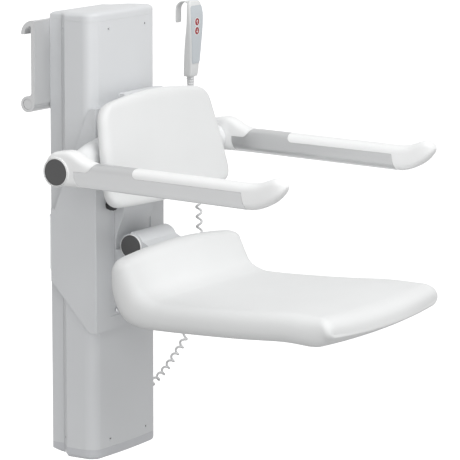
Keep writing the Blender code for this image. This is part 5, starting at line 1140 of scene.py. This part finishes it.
# %% [markdown]
# ## Floor and light
#
# The picture is a clean studio shot on white. A large soft lamp stands high in front, a weaker one
# fills from the left, and the sky fills the rest evenly. The floor is pale and keeps the soft shadow.
# Only rays from the camera, and mirror rays, see the background as plain white, so the white never
# adds light to the object.

# %% Floor
FLOOR_Z = -1.12
floor = piece("floor", [(-40, -40, FLOOR_Z), (40, -40, FLOOR_Z), (40, 40, FLOOR_Z), (-40, 40, FLOOR_Z)], [(0, 1, 2, 3)],
              material=bpy.data.materials.new("pale floor"))
floor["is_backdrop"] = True


def seen_plainly(tree):
    """1 for rays from the camera and for mirror and glass rays, else 0."""
    path = node(tree, "LightPath", {}).outputs
    either = node(tree, "Math", {0: path["Is Camera Ray"], 1: path["Is Glossy Ray"]}, operation="MAXIMUM")
    both = node(tree, "Math", {0: either.outputs["Value"], 1: path["Is Transmission Ray"]}, operation="MAXIMUM")
    return both.outputs["Value"]


floor_look = floor.data.materials[0]
floor_look.use_nodes = True
tree = floor_look.node_tree
base = tree.nodes["Principled BSDF"]
base.inputs["Base Color"].default_value = (0.38, 0.38, 0.38, 1.0)
base.inputs["Roughness"].default_value = 0.9
lift, nothing = (node(tree, "Emission", {"Strength": strength}).outputs["Emission"] for strength in (0.94, 0.0))
gate = node(tree, "MixShader", {"Fac": seen_plainly(tree), 1: nothing, 2: lift}).outputs["Shader"]
total = node(tree, "AddShader", {0: base.outputs["BSDF"], 1: gate}).outputs["Shader"]
tree.links.new(total, tree.nodes["Material Output"].inputs["Surface"])

# %% Sky
WHITE = (1.0, 1.0, 1.0, 1.0)
world = bpy.data.worlds.new("studio")
bpy.context.scene.world = world
world.use_nodes = True
tree = world.node_tree
fill = tree.nodes["Background"]
fill.inputs["Color"].default_value = WHITE
fill.inputs["Strength"].default_value = 0.585
white = node(tree, "Background", {"Color": WHITE, "Strength": 1.0}).outputs["Background"]
pick = node(tree, "MixShader", {"Fac": seen_plainly(tree), 1: fill.outputs["Background"], 2: white}).outputs["Shader"]
tree.links.new(pick, tree.nodes["World Output"].inputs["Surface"])


# %% Lamps
def lamp(name, place, aim, size, watts):
    """A square soft lamp that looks at a point."""
    data = bpy.data.lights.new(name, "AREA")
    data.shape = "SQUARE"
    data.size = size
    data.energy = watts
    made = bpy.data.objects.new(name, data)
    made.location = place
    made.rotation_euler = (Vector(aim) - Vector(place)).to_track_quat("-Z", "Y").to_euler()
    bpy.context.collection.objects.link(made)
    return made


lamp("front lamp", (-0.9, -3.4, 3.9), (0.0, -0.2, -0.3), 3.0, 124.0)
lamp("left lamp", (-3.6, -2.9, 0.2), (0.0, -0.2, -0.4), 2.5, 46.0)
view = bpy.context.scene.view_settings
view.view_transform = "Standard"
print("floor at z %.2f, two lamps" % FLOOR_Z)

# %% [markdown]
# ## The dressed model's size
#
# The dressed model should keep the size of the solid one, so its span is printed.

# %% Sizes and finish
low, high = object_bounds()
print("dressed model spans %.3f x %.3f x %.3f m" % tuple(high - low))
